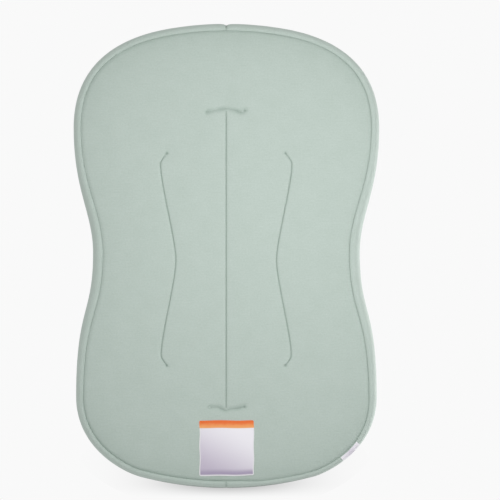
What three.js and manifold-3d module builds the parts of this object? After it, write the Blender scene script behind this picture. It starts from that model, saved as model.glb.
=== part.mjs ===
// An infant lounger: a waisted ring of stuffed bolster round a low padded seat, in a zipped cover.
// Millimetres, +Z up, +Y to the head end. The origin is on the floor, under the middle of the lounger.
// Every layer repeats the same cross-section at its own depth under the cover's face, so they nest.
import * as THREE from "three";
import { mergeVertices } from "three/addons/utils/BufferGeometryUtils.js";
import Module from "manifold-3d";

const wasm = await Module();
wasm.setup();

const quarterTurn = Math.PI / 2;

// Outline of the cushion seen from above, at its widest line.
const loungerLength = 660;
const headWidth = 435;
const waistWidth = 380;
const footWidth = 428;
const headCornerRun = 148;
const footCornerRun = 130;
const waistAt = 4;
const headArcRadius = 480;
const headArcRun = 83.8;
const footArcRadius = 480;
const footArcRun = 125.7;

// How far each end of the outline's curves runs straight on, as a share of the run to the other end.
const footArcShare = 0.2;
const footCornerShare = 0.675;
const footSideShare = 0.635;
const waistFootShare = 0.435;
const waistHeadShare = 0.32;
const headSideShare = 0.51;
const headCornerShare = 0.65;
const headArcShare = 0.53;

// Heights of the bolster ring over the floor, and where its crest lies inside the outline.
const footHeight = 82;
const sideHeight = 100;
const headHeight = 94;
const widestHeight = 38;
const rimSeamHeight = 60;
const rimLift = 3.4;
const crestInset = 56;
const straightInset = 24;

// The seam round the base panel: its inset from the outline and its lift off the floor.
const baseSeamInset = 13;
const waistSeamInset = 16.5;
const baseSeamLift = 3.5;
const baseEdgeRoll = 7;
const baseRollShare = 0.3;
const baseRollLiftShare = 0.35;
const rimFoldShare = 0.75;

// The bolster's breadth from the outline to the seat panel's seam, a waisted oval inside the ring, and
// the padding over the seat.
const headBolster = 122;
const headSideBolster = 125;
const waistBolster = 119.5;
const footSideBolster = 122.5;
const footBolster = 114.5;
const seatHeadCornerRun = 79;
const seatFootCornerRun = 76;
const seatWaistAt = -6;
const seatEndShare = 0.6;
const seatSideShare = 0.45;
const seatSpineShare = 0.66;
const seatCrown = 9;
const seatAcrossShares = [0, 0.1, 0.34, 0.7, 0.92, 1];
const seatCrownShares = [0, 0.5, 0.95, 1, 0.72, 0.3];
const seatUnderShares = [0, 0.34, 0.7, 1];
const seatUnderCrownShares = [0, 0.85, 0.95, 0.3];
const seatMiddleCrownShare = 0.3;
const seatMiddleRun = 12;

// Thickness of each layer, the gap between two that touch, and how deep a sewn edge is drawn in.
const coverThickness = 2.4;
const layerGap = 0.3;
const seamDepth = 1.2;
const leastThickness = 0.8;
const basePadThickness = 10;
const basePadRoom = 1;
const basePadEdgeShare = 0.6;
const seatFillThickness = 18;
const hemRun = 8;
const crossSeamRun = 5;

// Lines sewn through the base panel.
const stitchGrooveWidth = 4.4;
const stitchGrooveDepth = 1.2;
const hookHeadRun = 15.5;
const hookHeadDraw = 9.1;
const hookFootRun = 14.9;
const hookFootDraw = 8.1;
const crossBarHalf = 27.6;
const crossBarArch = 4.6;
const crossBarInset = 0.5;
const middleLineInset = 5;
const hookShare = 0.8;

// The blank care label in its shallow pocket, and the folded tag on the rim.
const labelWidth = 78;
const labelLength = 78.5;
const labelThickness = 0.5;
const labelCorner = 2;
const labelInset = 20.25;
const labelStandOff = 0.1;
const tagLength = 34;
const tagThickness = 0.6;
const tagAt = 191;
const tagFoldShare = 0.72;

// The zip in the seam between rim and top at the foot end. It follows a true arc.
const zipOpening = 10.4;
const hemThickness = 1.4;
const zipHollow = 2.2;
const zipEndRun = 6;
const tapeThickness = 0.5;
const tapeSlit = 2;
const tapeHemShare = 0.6;
const chainWidth = 5.8;
const chainHeight = 1.8;
const toothPitch = 5;
const toothReach = 0.9;
const toothGap = 0.4;
const stopLength = 1.8;
const chainStartRoom = 13.7;
const chainEndRoom = 14.7;
const endStopRoom = 10.7;
const sliderPark = 3.4;
const sliderLength = 11;
const sliderWidth = 9;
const sliderPlate = 0.9;
const sliderRoom = 0.35;
const postWidth = 1.2;
const postLength = 1.3;
const postInset = 0.5;
const bridgeLength = 6.4;
const bridgeWidth = 2.2;
const bridgeHeight = 2.7;
const bridgeWall = 0.8;
const pullBar = 1.1;
const pullLength = 20;
const pullWidth = 6.2;
const pullNeck = 4.2;
const pullArm = 1.3;
const pullCorner = 1.4;
const endTabRoom = 8.3;
const endTabLength = 15;
const endTabHalfWidth = 8.5;
const endTabThickness = 1;

// Facets along each stretch of the outline, and where the cross-section has its corners, as shares of
// each quarter of its curve.
const footArcSteps = 6;
const cornerSteps = 6;
const sideSteps = 4;
const headArcSteps = 2;
const lowRimShares = [1, 0.72, 0.46, 0.2];
const lowRimInnerShare = 0.46;
const outerSlopeShares = [0.56, 0.78, 1];
const innerSlopeShares = [0.2, 0.4, 0.6, 0.8];
const outerUnderShare = 0.75;
const innerUnderShares = [0.1, 0.45, 0.75];

// What follows from those sizes.
const halfLength = loungerLength / 2;
const headWidestAt = halfLength - headCornerRun;
const footWidestAt = footCornerRun - halfLength;
const headArcAngle = headArcRun / headArcRadius;
const footArcAngle = footArcRun / footArcRadius;
const seatHeadEnd = halfLength - headBolster;
const seatFootEnd = footBolster - halfLength;
const seatHeadHalfWidth = headWidth / 2 - headSideBolster;
const seatWaistHalfWidth = waistWidth / 2 - waistBolster;
const seatFootHalfWidth = footWidth / 2 - footSideBolster;
const seatHeadWidestAt = seatHeadEnd - seatHeadCornerRun;
const seatFootWidestAt = seatFootEnd + seatFootCornerRun;
const fillDepth = coverThickness + layerGap;
const fillBottom = fillDepth + basePadThickness + layerGap;
const seatSeamHeight = fillBottom + seatFillThickness + fillDepth;
const zipCentre = footArcRadius - halfLength;

const smooth = (share) => share * share * (3 - 2 * share);
const mix = (from, to, share) => from + (to - from) * share;
const flat = (x, y) => new THREE.Vector2(x, y);
const point = (x, y, z) => new THREE.Vector3(x, y, z);
const counted = (count) => Array.from({ length: count }, (_, k) => k);
const steps = (count) => counted(count).map((k) => (k + 1) / count);

// Bodies.

// A closed body through closed rings of points, with both ends covered. From the corner that turns
// back, the rings run the other way along their section, and their facets are split to match.
function loft(rings, back = rings[0].length) {
  const count = rings[0].length;
  const corner = (ring, k) => ring * count + (k % count);
  const faces = [];
  counted(rings.length - 1).forEach((ring) =>
    counted(count).forEach((k) => {
      const [a, b] = [corner(ring, k), corner(ring, k + 1)];
      const [d, c] = [corner(ring + 1, k), corner(ring + 1, k + 1)];
      const split = k < back ? [[a, b, c], [a, c, d]] : [[a, b, d], [b, c, d]];
      faces.push(...split);
    }),
  );
  const last = rings.length - 1;
  coverOf(rings[0]).forEach(([a, b, c]) => faces.push([c, b, a]));
  coverOf(rings[last]).forEach((face) => faces.push(face.map((k) => corner(last, k))));
  return bodyOf(rings.flat(), faces);
}

// Triangles that fill a ring, turned the way the ring runs.
function coverOf(ring) {
  const normal = point(0, 0, 0);
  ring.forEach((from, k) => {
    const to = ring[(k + 1) % ring.length];
    normal.x += (from.y - to.y) * (from.z + to.z);
    normal.y += (from.z - to.z) * (from.x + to.x);
    normal.z += (from.x - to.x) * (from.y + to.y);
  });
  normal.normalize();
  const steep = Math.abs(normal.z) < Math.SQRT1_2;
  const across = (steep ? point(0, 0, 1) : point(1, 0, 0)).cross(normal).normalize();
  const along = normal.clone().cross(across);
  const drawing = ring.map((place) => flat(place.dot(across), place.dot(along)));
  return THREE.ShapeUtils.triangulateShape(drawing, []);
}

// A closed body from points and faces, with its faces turned outward.
function bodyOf(places, faces) {
  let volume = 0;
  faces.forEach(([a, b, c]) => {
    volume += places[a].dot(places[b].clone().cross(places[c]));
  });
  const turned = volume < 0 ? faces.map(([a, b, c]) => [c, b, a]) : faces;
  const geometry = new THREE.BufferGeometry();
  const numbers = places.flatMap((place) => [place.x, place.y, place.z]);
  geometry.setAttribute("position", new THREE.Float32BufferAttribute(numbers, 3));
  geometry.setIndex(turned.flat());
  geometry.computeVertexNormals();
  return geometry;
}

function solidOf(geometry) {
  const bare = geometry.clone();
  bare.deleteAttribute("normal");
  bare.deleteAttribute("uv");
  const merged = mergeVertices(bare);
  return new wasm.Manifold(
    new wasm.Mesh({
      numProp: 3,
      vertProperties: merged.attributes.position.array,
      triVerts: new Uint32Array(merged.index.array),
    }),
  );
}

function geometryOf(solid) {
  const mesh = solid.getMesh();
  const geometry = new THREE.BufferGeometry();
  geometry.setAttribute("position", new THREE.BufferAttribute(mesh.vertProperties, 3));
  geometry.setIndex(new THREE.BufferAttribute(mesh.triVerts, 1));
  geometry.computeVertexNormals();
  return geometry;
}

const joined = (first, ...others) =>
  geometryOf(others.reduce((whole, other) => whole.add(solidOf(other)), solidOf(first)));

const cut = (first, ...others) =>
  geometryOf(others.reduce((whole, other) => whole.subtract(solidOf(other)), solidOf(first)));

const mirrored = (ring) => ring.map((place) => point(-place.x, place.y, place.z));

// The outline and the seat's seam.

function curvePath(...curves) {
  const path = new THREE.CurvePath();
  curves.forEach((curve) => path.add(curve));
  return path;
}

// A curve between two points that sets out and arrives along the given reaches.
function flow(from, leaving, to, arriving) {
  return new THREE.CubicBezierCurve(from, from.clone().add(leaving), to.clone().sub(arriving), to);
}

const lengthwise = (reach) => flat(0, reach);
const aslant = (angle, reach) => flat(reach * Math.cos(angle), reach * Math.sin(angle));

const footArc = new THREE.EllipseCurve(
  0,
  zipCentre,
  footArcRadius,
  footArcRadius,
  -quarterTurn,
  footArcAngle - quarterTurn,
);
const headArc = new THREE.EllipseCurve(
  0,
  halfLength - headArcRadius,
  headArcRadius,
  headArcRadius,
  quarterTurn - headArcAngle,
  quarterTurn,
);
const footArcEnd = footArc.getPoint(1);
const headArcEnd = headArc.getPoint(0);
const footWidest = flat(footWidth / 2, footWidestAt);
const waist = flat(waistWidth / 2, waistAt);
const headWidest = flat(headWidth / 2, headWidestAt);
const footRun = waistAt - footWidestAt;
const headRun = headWidestAt - waistAt;

const footOutline = curvePath(
  footArc,
  flow(
    footArcEnd,
    aslant(footArcAngle, footArcShare * (footWidest.x - footArcEnd.x)),
    footWidest,
    lengthwise(footCornerShare * (footWidest.y - footArcEnd.y)),
  ),
);
const footSideOutline = curvePath(
  flow(
    footWidest,
    lengthwise(footSideShare * footRun),
    waist,
    lengthwise(waistFootShare * footRun),
  ),
);
const headSideOutline = curvePath(
  flow(
    waist,
    lengthwise(waistHeadShare * headRun),
    headWidest,
    lengthwise(headSideShare * headRun),
  ),
);
const headOutline = curvePath(
  flow(
    headWidest,
    lengthwise(headCornerShare * (headArcEnd.y - headWidest.y)),
    headArcEnd,
    aslant(Math.PI - headArcAngle, headArcShare * (headWidest.x - headArcEnd.x)),
  ),
  headArc,
);

const seatFootWidest = flat(seatFootHalfWidth, seatFootWidestAt);
const seatWaist = flat(seatWaistHalfWidth, seatWaistAt);
const seatHeadWidest = flat(seatHeadHalfWidth, seatHeadWidestAt);

const seatFootCurve = curvePath(
  flow(
    flat(0, seatFootEnd),
    flat(seatEndShare * seatFootHalfWidth, 0),
    seatFootWidest,
    lengthwise(seatEndShare * (seatFootWidestAt - seatFootEnd)),
  ),
);
const seatHeadCurve = curvePath(
  flow(
    seatHeadWidest,
    lengthwise(seatEndShare * (seatHeadEnd - seatHeadWidestAt)),
    flat(0, seatHeadEnd),
    flat(-seatEndShare * seatHeadHalfWidth, 0),
  ),
);

function seatSideCurve(from, to) {
  const reach = lengthwise(seatSideShare * (to.y - from.y));
  return curvePath(flow(from, reach, to, reach));
}

const seatFootSideCurve = seatSideCurve(seatFootWidest, seatWaist);
const seatHeadSideCurve = seatSideCurve(seatWaist, seatHeadWidest);

// Stations round the right half, from the middle of the foot end to the middle of the head end.

const footLength = footOutline.getLength();
const headLength = headOutline.getLength();
const footArcPart = footArc.getLength() / footLength;
const headArcPart = headArc.getLength() / headLength;
const zipEndPart = footArcPart + zipEndRun / footLength;

// A station is a point of the outline with the way in to the seat's seam opposite it. The section
// there has its height, the base seam's inset, and the distance to the nearer cross seam.
function station(outline, seatCurve, share, { height, seamInset, zipped, middleRun }) {
  const edge = outline.getPoint(share);
  const way = outline.getTangent(share);
  const inward = flat(-way.y, way.x);
  const seat = seatCurve.getPoint(share);
  const turn = edge.clone().addScaledVector(inward, straightInset);
  const toSeat = seat.clone().sub(turn);
  const width = straightInset + toSeat.length();
  const rise = height - widestHeight;
  const seamAngle = Math.asin((rimSeamHeight - widestHeight) / rise);
  const speed = Math.hypot(crestInset * Math.sin(seamAngle), rise * Math.cos(seamAngle));
  return {
    edge,
    inward,
    seat,
    toSeat: toSeat.normalize(),
    width,
    height,
    seamInset,
    zipped,
    seamAngle,
    openAngle: (zipped ? zipOpening : layerGap) / 2 / speed,
    hemAngle: hemRun / speed,
    crossDraw: seamDepth * (1 - Math.min(1, middleRun / crossSeamRun)),
  };
}

function footStation(share) {
  const cornerPart = Math.max(0, (share - footArcPart) / (1 - footArcPart));
  return station(footOutline, seatFootCurve, share, {
    height: mix(footHeight, sideHeight, smooth(cornerPart)),
    seamInset: baseSeamInset,
    zipped: share < (footArcPart + zipEndPart) / 2,
    middleRun: share * footLength,
  });
}

function headStation(share) {
  return station(headOutline, seatHeadCurve, share, {
    height: mix(sideHeight, headHeight, smooth(share)),
    seamInset: baseSeamInset,
    zipped: false,
    middleRun: (1 - share) * headLength,
  });
}

function sideStation(outline, seatCurve, share, waistPart) {
  return station(outline, seatCurve, share, {
    height: sideHeight,
    seamInset: mix(baseSeamInset, waistSeamInset, smooth(waistPart)),
    zipped: false,
    middleRun: crossSeamRun,
  });
}

const footShares = [
  0,
  crossSeamRun / footLength,
  ...steps(footArcSteps).map((share) => share * footArcPart),
  zipEndPart,
  ...steps(cornerSteps).map((share) => mix(zipEndPart, 1, share)),
];
const headShares = [
  ...steps(cornerSteps).map((share) => share * (1 - headArcPart)),
  ...steps(headArcSteps).slice(0, -1).map((share) => mix(1 - headArcPart, 1, share)),
  1 - crossSeamRun / headLength,
  1,
];
const stations = [
  ...footShares.map(footStation),
  ...steps(sideSteps).map((share) =>
    sideStation(footSideOutline, seatFootSideCurve, share, share),
  ),
  ...steps(sideSteps).map((share) =>
    sideStation(headSideOutline, seatHeadSideCurve, share, 1 - share),
  ),
  ...headShares.map(headStation),
];

// The cross-section. A spot is a place on the cover's face and the way the section runs there, both
// as inset and height.

function lowRim(at, share) {
  const angle = share * quarterTurn;
  const run = at.seamInset * rimFoldShare;
  const rise = widestHeight - rimLift;
  return {
    place: flat(run * (1 - Math.cos(angle)), widestHeight - rise * Math.sin(angle)),
    way: flat(-run * Math.sin(angle), rise * Math.cos(angle)),
  };
}

function outerSlope(at, angle) {
  const rise = at.height - widestHeight;
  return {
    place: flat(crestInset * (1 - Math.cos(angle)), widestHeight + rise * Math.sin(angle)),
    way: flat(crestInset * Math.sin(angle), rise * Math.cos(angle)),
  };
}

function innerSlope(at, share) {
  const angle = share * quarterTurn;
  const run = at.width - crestInset;
  const rise = at.height - seatSeamHeight;
  return {
    place: flat(crestInset + run * Math.sin(angle), seatSeamHeight + rise * Math.cos(angle)),
    way: flat(run * Math.cos(angle), -rise * Math.sin(angle)),
  };
}

// The point at an inset and height, kept half a gap clear of the middle plane.
function across(at, inset, height) {
  const straight = Math.min(inset, straightInset);
  const place = at.edge
    .clone()
    .addScaledVector(at.inward, straight)
    .addScaledVector(at.toSeat, inset - straight);
  return point(Math.max(place.x, layerGap / 2), place.y, height);
}

const outOf = (spot) => flat(-spot.way.y, spot.way.x).normalize();

function under(at, spot, depth) {
  const place = spot.place.clone().addScaledVector(outOf(spot), -depth);
  return across(at, place.x, place.y);
}

const hemDepth = (at) => (at.zipped ? hemThickness : coverThickness);
const drawn = (at, depth, thickness) => Math.min(at.crossDraw + depth, thickness - leastThickness);
const face = (at, spot) => under(at, spot, drawn(at, 0, coverThickness));
const hemFace = (at, spot) => under(at, spot, drawn(at, 0, hemDepth(at)));
const edgeFace = (at, spot) =>
  under(at, spot, drawn(at, at.zipped ? 0 : seamDepth, hemDepth(at)));

// Corners of the section beside the seam between rim and top.
const rimEdge = (at) => outerSlope(at, at.seamAngle - at.openAngle);
const rimHem = (at) => outerSlope(at, at.seamAngle - at.openAngle - at.hemAngle);
const topEdge = (at) => outerSlope(at, at.seamAngle + at.openAngle);
const topHem = (at) => outerSlope(at, at.seamAngle + at.openAngle + at.hemAngle);

function rimSection(at) {
  const seam = at.seamInset - layerGap / 2;
  const seamHeight = baseSeamLift + seamDepth;
  return [
    across(at, seam, seamHeight),
    ...lowRimShares.map((share) => face(at, lowRim(at, share))),
    face(at, lowRim(at, 0)),
    hemFace(at, rimHem(at)),
    edgeFace(at, rimEdge(at)),
    under(at, rimEdge(at), hemDepth(at)),
    under(at, rimHem(at), hemDepth(at)),
    under(at, lowRim(at, 0), coverThickness),
    under(at, lowRim(at, lowRimInnerShare), coverThickness),
    under(at, lowRim(at, 1), coverThickness),
    across(at, seam, seamHeight + coverThickness),
  ];
}

function topSection(at) {
  const foot = seatSeamHeight + layerGap / 2;
  return [
    edgeFace(at, topEdge(at)),
    hemFace(at, topHem(at)),
    ...outerSlopeShares.map((share) => face(at, outerSlope(at, share * quarterTurn))),
    ...innerSlopeShares.map((share) => face(at, innerSlope(at, share))),
    across(at, at.width - drawn(at, seamDepth, coverThickness), foot),
    across(at, at.width - coverThickness, foot),
    ...innerUnderShares
      .toReversed()
      .map((share) => under(at, innerSlope(at, share), coverThickness)),
    under(at, outerSlope(at, outerUnderShare * quarterTurn), coverThickness),
    under(at, topHem(at), hemDepth(at)),
    under(at, topEdge(at), hemDepth(at)),
  ];
}

// The point of the seat a share of the way from its seam to its middle line.
function onSeat(at, share, height) {
  const place = at.seat.clone().lerp(flat(0, at.seat.y * seatSpineShare), share);
  return point(Math.max(place.x, layerGap / 2), place.y, height);
}

const seatEdgeHeight = seatSeamHeight - layerGap / 2;

// Points across the seat, with the height of its edge and the crown over it at each share. Near the
// middle seam the crown stays as low as the seam.
function seatLine(at, shares, crownShares, height) {
  const fullShare = smooth(Math.min(1, at.seat.x / seatMiddleRun));
  const most = mix(seatMiddleCrownShare, 1, fullShare);
  return shares.map((share, k) =>
    onSeat(at, share, height + seatCrown * Math.min(crownShares[k], most)),
  );
}

function seatSection(at) {
  const draw = Math.min(at.crossDraw, coverThickness - leastThickness);
  const underHeight = seatEdgeHeight - coverThickness;
  return [
    across(at, at.width - coverThickness, seatEdgeHeight),
    ...seatLine(at, seatAcrossShares, seatCrownShares, seatEdgeHeight - draw),
    ...seatLine(at, seatUnderShares, seatUnderCrownShares, underHeight).toReversed(),
    across(at, at.width - coverThickness, underHeight),
  ];
}

function seatFillSection(at) {
  const top = seatEdgeHeight - fillDepth;
  return [
    across(at, at.width - coverThickness, fillBottom),
    across(at, at.width - coverThickness, top),
    ...seatLine(at, seatUnderShares, seatUnderCrownShares, top),
    onSeat(at, 1, fillBottom),
  ];
}

function bolsterSection(at) {
  const hollow = fillDepth + (at.zipped ? zipHollow : 0);
  return [
    across(at, at.seamInset * rimFoldShare, fillBottom),
    under(at, lowRim(at, lowRimInnerShare), fillDepth),
    under(at, lowRim(at, 0), fillDepth),
    under(at, rimHem(at), fillDepth),
    under(at, rimEdge(at), hollow),
    under(at, topEdge(at), hollow),
    under(at, topHem(at), fillDepth),
    under(at, outerSlope(at, outerUnderShare * quarterTurn), fillDepth),
    ...innerUnderShares.map((share) => under(at, innerSlope(at, share), fillDepth)),
    across(at, at.width - fillDepth, seatSeamHeight),
    across(at, at.width - fillDepth, fillBottom),
  ];
}

const rightHalf = (section, back) => loft(stations.map(section), back);
const leftHalf = (section, back) => loft(stations.map((at) => mirrored(section(at))), back);

// Where each shell's section turns back along its inner face.
const rimBack = lowRimShares.length + 4;
const topBack = outerSlopeShares.length + innerSlopeShares.length + 3;
const seatBack = seatAcrossShares.length + 1;

// The base panel, with its sewn lines and the label's pocket, and the pad over it.

// A closed ring of points right round the lounger.
function loop(insetOf, height) {
  const right = stations.map((at) => {
    const place = at.edge.clone().addScaledVector(at.inward, insetOf(at));
    return point(place.x, place.y, height);
  });
  right[0].x = 0;
  right.at(-1).x = 0;
  return [...right, ...mirrored(right.slice(1, -1)).toReversed()];
}

function basePanelBlank() {
  const lift = baseSeamLift + seamDepth;
  const rollLift = lift * baseRollLiftShare;
  const seam = (at) => at.seamInset + layerGap / 2;
  const roll = (at) => at.seamInset + baseEdgeRoll * baseRollShare;
  const level = (at) => at.seamInset + baseEdgeRoll;
  return loft([
    loop(level, 0),
    loop(roll, rollLift),
    loop(seam, lift),
    loop(seam, lift + coverThickness),
    loop(roll, rollLift + coverThickness),
    loop(level, coverThickness),
  ]);
}

// A cutter for the crease along a sewn line, on the floor side of the panel.
function crease(line, count) {
  return loft(
    [0, ...steps(count)].map((share) => {
      const place = line.getPointAt(share);
      const way = line.getTangentAt(share);
      const side = (out, height) => point(place.x - way.y * out, place.y + way.x * out, height);
      return [
        side(-stitchGrooveWidth, -stitchGrooveDepth),
        side(stitchGrooveWidth, -stitchGrooveDepth),
        side(0, stitchGrooveDepth),
      ];
    }),
  );
}

function sideLine(side) {
  const head = flat(side * (seatHeadHalfWidth - hookHeadDraw), seatHeadWidestAt + hookHeadRun);
  const headBend = flat(side * seatHeadHalfWidth, seatHeadWidestAt);
  const middle = flat(side * seatWaistHalfWidth, seatWaistAt);
  const footBend = flat(side * seatFootHalfWidth, seatFootWidestAt);
  const foot = flat(side * (seatFootHalfWidth - hookFootDraw), seatFootWidestAt - hookFootRun);
  const still = flat(0, 0);
  const headReach = lengthwise(seatSideShare * (seatWaistAt - seatHeadWidestAt));
  const footReach = lengthwise(seatSideShare * (seatFootWidestAt - seatWaistAt));
  return curvePath(
    flow(head, still, headBend, lengthwise(-hookShare * hookHeadRun)),
    flow(headBend, headReach, middle, headReach),
    flow(middle, footReach, footBend, footReach),
    flow(footBend, lengthwise(-hookShare * hookFootRun), foot, still),
  );
}

const middleLine = new THREE.LineCurve(
  flat(0, seatFootEnd + middleLineInset),
  flat(0, seatHeadEnd - middleLineInset),
);
const crossBar = (at, arch) =>
  new THREE.QuadraticBezierCurve(
    flat(-crossBarHalf, at - arch / 2),
    flat(0, at + arch / 2),
    flat(crossBarHalf, at - arch / 2),
  );

function roundedShape(width, height, radius) {
  const shape = new THREE.Shape();
  const right = width / 2;
  const top = height / 2;
  shape.moveTo(radius - right, -top);
  shape.lineTo(right - radius, -top);
  shape.absarc(right - radius, radius - top, radius, -quarterTurn, 0);
  shape.lineTo(right, top - radius);
  shape.absarc(right - radius, top - radius, radius, 0, quarterTurn);
  shape.lineTo(radius - right, top);
  shape.absarc(radius - right, top - radius, radius, quarterTurn, Math.PI);
  shape.lineTo(-right, radius - top);
  shape.absarc(radius - right, radius - top, radius, Math.PI, Math.PI + quarterTurn);
  return shape;
}

const plateOf = (shape, thickness) =>
  new THREE.ExtrudeGeometry(shape, { depth: thickness, bevelEnabled: false, curveSegments: 3 });

const labelAt = labelInset + labelLength / 2 - halfLength;
const labelShape = (room) =>
  roundedShape(labelWidth + 2 * room, labelLength + 2 * room, labelCorner + room);
const pocketDepth = labelStandOff + labelThickness + layerGap;
const pocket = plateOf(labelShape(layerGap), pocketDepth + coverThickness);
const label = plateOf(labelShape(0), labelThickness);

const creaseSteps = 26;
const barSteps = 6;
const basePanel = cut(
  basePanelBlank(),
  crease(middleLine, 1),
  crease(crossBar(seatHeadEnd - crossBarInset, crossBarArch), barSteps),
  crease(crossBar(seatFootEnd + crossBarInset, -crossBarArch), barSteps),
  crease(sideLine(1), creaseSteps),
  crease(sideLine(-1), creaseSteps),
  pocket.translate(0, labelAt, -coverThickness),
);

const basePad = loft([
  loop((at) => at.seamInset + baseEdgeRoll + basePadRoom, fillDepth),
  loop((at) => at.seamInset * basePadEdgeShare, fillDepth + basePadThickness),
]);

// Pieces that lie along part of the outline.

const outlineRuns = stations.reduce(
  (runs, at, k) =>
    k === 0 ? [0] : [...runs, runs[k - 1] + at.edge.distanceTo(stations[k - 1].edge)],
  [],
);

// A section at any run along the outline, straight between the two stations beside it.
function sectionAtRun(run, section) {
  const next = outlineRuns.findIndex((end) => end > run);
  const from = outlineRuns[next - 1];
  const share = (run - from) / (outlineRuns[next] - from);
  const after = section(stations[next]);
  return section(stations[next - 1]).map((place, k) => place.clone().lerp(after[k], share));
}

function alongOutline(from, to, section) {
  const between = outlineRuns.filter((run) => run > from && run < to);
  return [from, ...between, to].map((run) => sectionAtRun(run, section));
}

// The folded tag lies on the rim beside the base seam.
function tagSection(at) {
  const seam = at.seamInset - layerGap / 2;
  const level = baseSeamLift + seamDepth - layerGap;
  const fold = lowRim(at, tagFoldShare);
  const bend = lowRim(at, 1);
  const outer = layerGap + tagThickness;
  return [
    across(at, seam, level),
    under(at, bend, -layerGap),
    under(at, fold, -layerGap),
    under(at, fold, -outer),
    under(at, bend, -outer),
    across(at, seam, level - tagThickness),
  ];
}

const sideTag = loft(
  alongOutline(tagAt - tagLength / 2, tagAt + tagLength / 2, tagSection).map(mirrored),
);

// The zip. Its parts are drawn up the cover from the middle of the chain and out from the cover's
// face, and turned about the upright line through the middle of the foot arc.

const zipStation = stations[0];
const zipSeam = outerSlope(zipStation, zipStation.seamAngle);
const zipUp = zipSeam.way.clone().normalize();
const zipOut = outOf(zipSeam);
const chainRadius = footArcRadius - zipSeam.place.x;
const chainStart = chainStartRoom - footArcRun;
const chainEnd = footArcRun - chainEndRoom;
const endStopAt = footArcRun - endStopRoom;
const sliderAt = chainEnd - sliderPark;
const runAngle = (run) => run / chainRadius;

function zipSpot(up, out) {
  return zipSeam.place.clone().addScaledVector(zipUp, up).addScaledVector(zipOut, out);
}

function turnedPoint(angle, place) {
  const radius = footArcRadius - place.x;
  return point(radius * Math.sin(angle), zipCentre - radius * Math.cos(angle), place.y);
}

const halfArc = [
  crossSeamRun / footArcRadius,
  ...steps(footArcSteps).map((share) => share * footArcAngle),
];
const zipAngles = [...halfArc.map((angle) => -angle).toReversed(), 0, ...halfArc];
const tapeDepth = hemThickness + layerGap;

// One tape runs from the slit in the middle to behind the hem.
function tape(edge, hem, side) {
  const behind = (spot, depth) => spot.place.clone().addScaledVector(outOf(spot), -depth);
  const layer = (depth) => [
    zipSpot((side * tapeSlit) / 2, -depth),
    behind(edge, depth),
    behind(edge, depth).lerp(behind(hem, depth), tapeHemShare),
  ];
  const section = [...layer(tapeDepth), ...layer(tapeDepth + tapeThickness).toReversed()];
  return loft(zipAngles.map((angle) => section.map((place) => turnedPoint(angle, place))));
}

// Heights of the chain out from the cover's face at its middle.
const chainFoot = layerGap - tapeDepth;
const chainTop = chainFoot + chainHeight;

// A row of teeth as one comb whose points reach past the middle, between those of the other row.
function teeth(side) {
  const count = 2 * Math.round((chainEnd - chainStart) / toothPitch);
  const outer = (side * chainWidth) / 2;
  const rings = [0, ...steps(count)].map((share, k) => {
    const inner = (k % 2 === 0 ? toothReach : -toothReach) + (side * toothGap) / 2;
    const section = [
      zipSpot(inner, chainFoot),
      zipSpot(outer, chainFoot),
      zipSpot(outer, chainTop),
      zipSpot(inner, chainTop),
    ];
    const angle = runAngle(mix(chainStart, chainEnd, share));
    return section.map((place) => turnedPoint(angle, place));
  });
  return loft(rings);
}

// A straight block beside the chain, given by its two ends along it, up the cover and out from it.
function block(ends, sides, heights) {
  const spans = [ends, sides, heights].map(([a, b]) => [Math.min(a, b), Math.max(a, b)]);
  const sizes = spans.map(([low, high]) => high - low);
  const middles = spans.map(([low, high]) => (low + high) / 2);
  return new THREE.BoxGeometry(...sizes).translate(...middles);
}

const sliderHalf = sliderLength / 2;
const tapeDrop = (zipOpening / 2) ** 2 / crestInset;
const lowerPlateTop = -(tapeDepth + tapeThickness + sliderRoom + tapeDrop);
const lowerPlateBottom = lowerPlateTop - sliderPlate;
const upperPlateBottom = chainTop + sliderRoom;
const upperPlateTop = upperPlateBottom + sliderPlate;
const upperPlateMiddle = upperPlateBottom + sliderPlate / 2;
const flangeEnd = sliderHalf - pullCorner;
const postEnd = sliderHalf - postInset;
const bridgeEnd = bridgeLength / 2;
const bridgeHoleTop = upperPlateTop + bridgeHeight - bridgeWall;

const sliderPlateAt = (bottom) =>
  plateOf(roundedShape(sliderLength, sliderWidth, pullCorner), sliderPlate).translate(0, 0, bottom);
const flange = (side) =>
  block(
    [-flangeEnd, flangeEnd],
    [side * (chainWidth / 2 + sliderRoom), (side * sliderWidth) / 2],
    [chainFoot + sliderRoom - layerGap, upperPlateMiddle],
  );
const post = block(
  [postEnd - postLength, postEnd],
  [-postWidth / 2, postWidth / 2],
  [lowerPlateTop - sliderPlate / 2, upperPlateMiddle],
);
const bridge = cut(
  block(
    [-bridgeEnd, bridgeEnd],
    [-bridgeWidth / 2, bridgeWidth / 2],
    [upperPlateMiddle, upperPlateTop + bridgeHeight],
  ),
  block(
    [bridgeWall - bridgeEnd, bridgeEnd - bridgeWall],
    [-bridgeWidth, bridgeWidth],
    [upperPlateTop, bridgeHoleTop],
  ),
);
const slider = joined(
  sliderPlateAt(upperPlateBottom),
  sliderPlateAt(lowerPlateBottom),
  flange(1),
  flange(-1),
  post,
  bridge,
);

// The pull hangs on the bridge by its bar and lies along the chain, away from the teeth.
const pullHeight = (upperPlateTop + bridgeHoleTop) / 2;

function pullShape() {
  const barHalf = pullBar / 2;
  const shape = roundedShape(pullLength + barHalf, pullWidth, pullCorner);
  const shift = (pullLength - barHalf) / 2;
  const rim = shape.getPoints(3).map((place) => flat(place.x + shift, place.y));
  const outline = new THREE.Shape(rim);
  const inner = pullWidth / 2 - pullArm;
  const window = [
    flat(barHalf, -inner),
    flat(pullNeck, -inner),
    flat(pullNeck, inner),
    flat(barHalf, inner),
  ];
  outline.holes.push(new THREE.Path(window));
  return outline;
}

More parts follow.
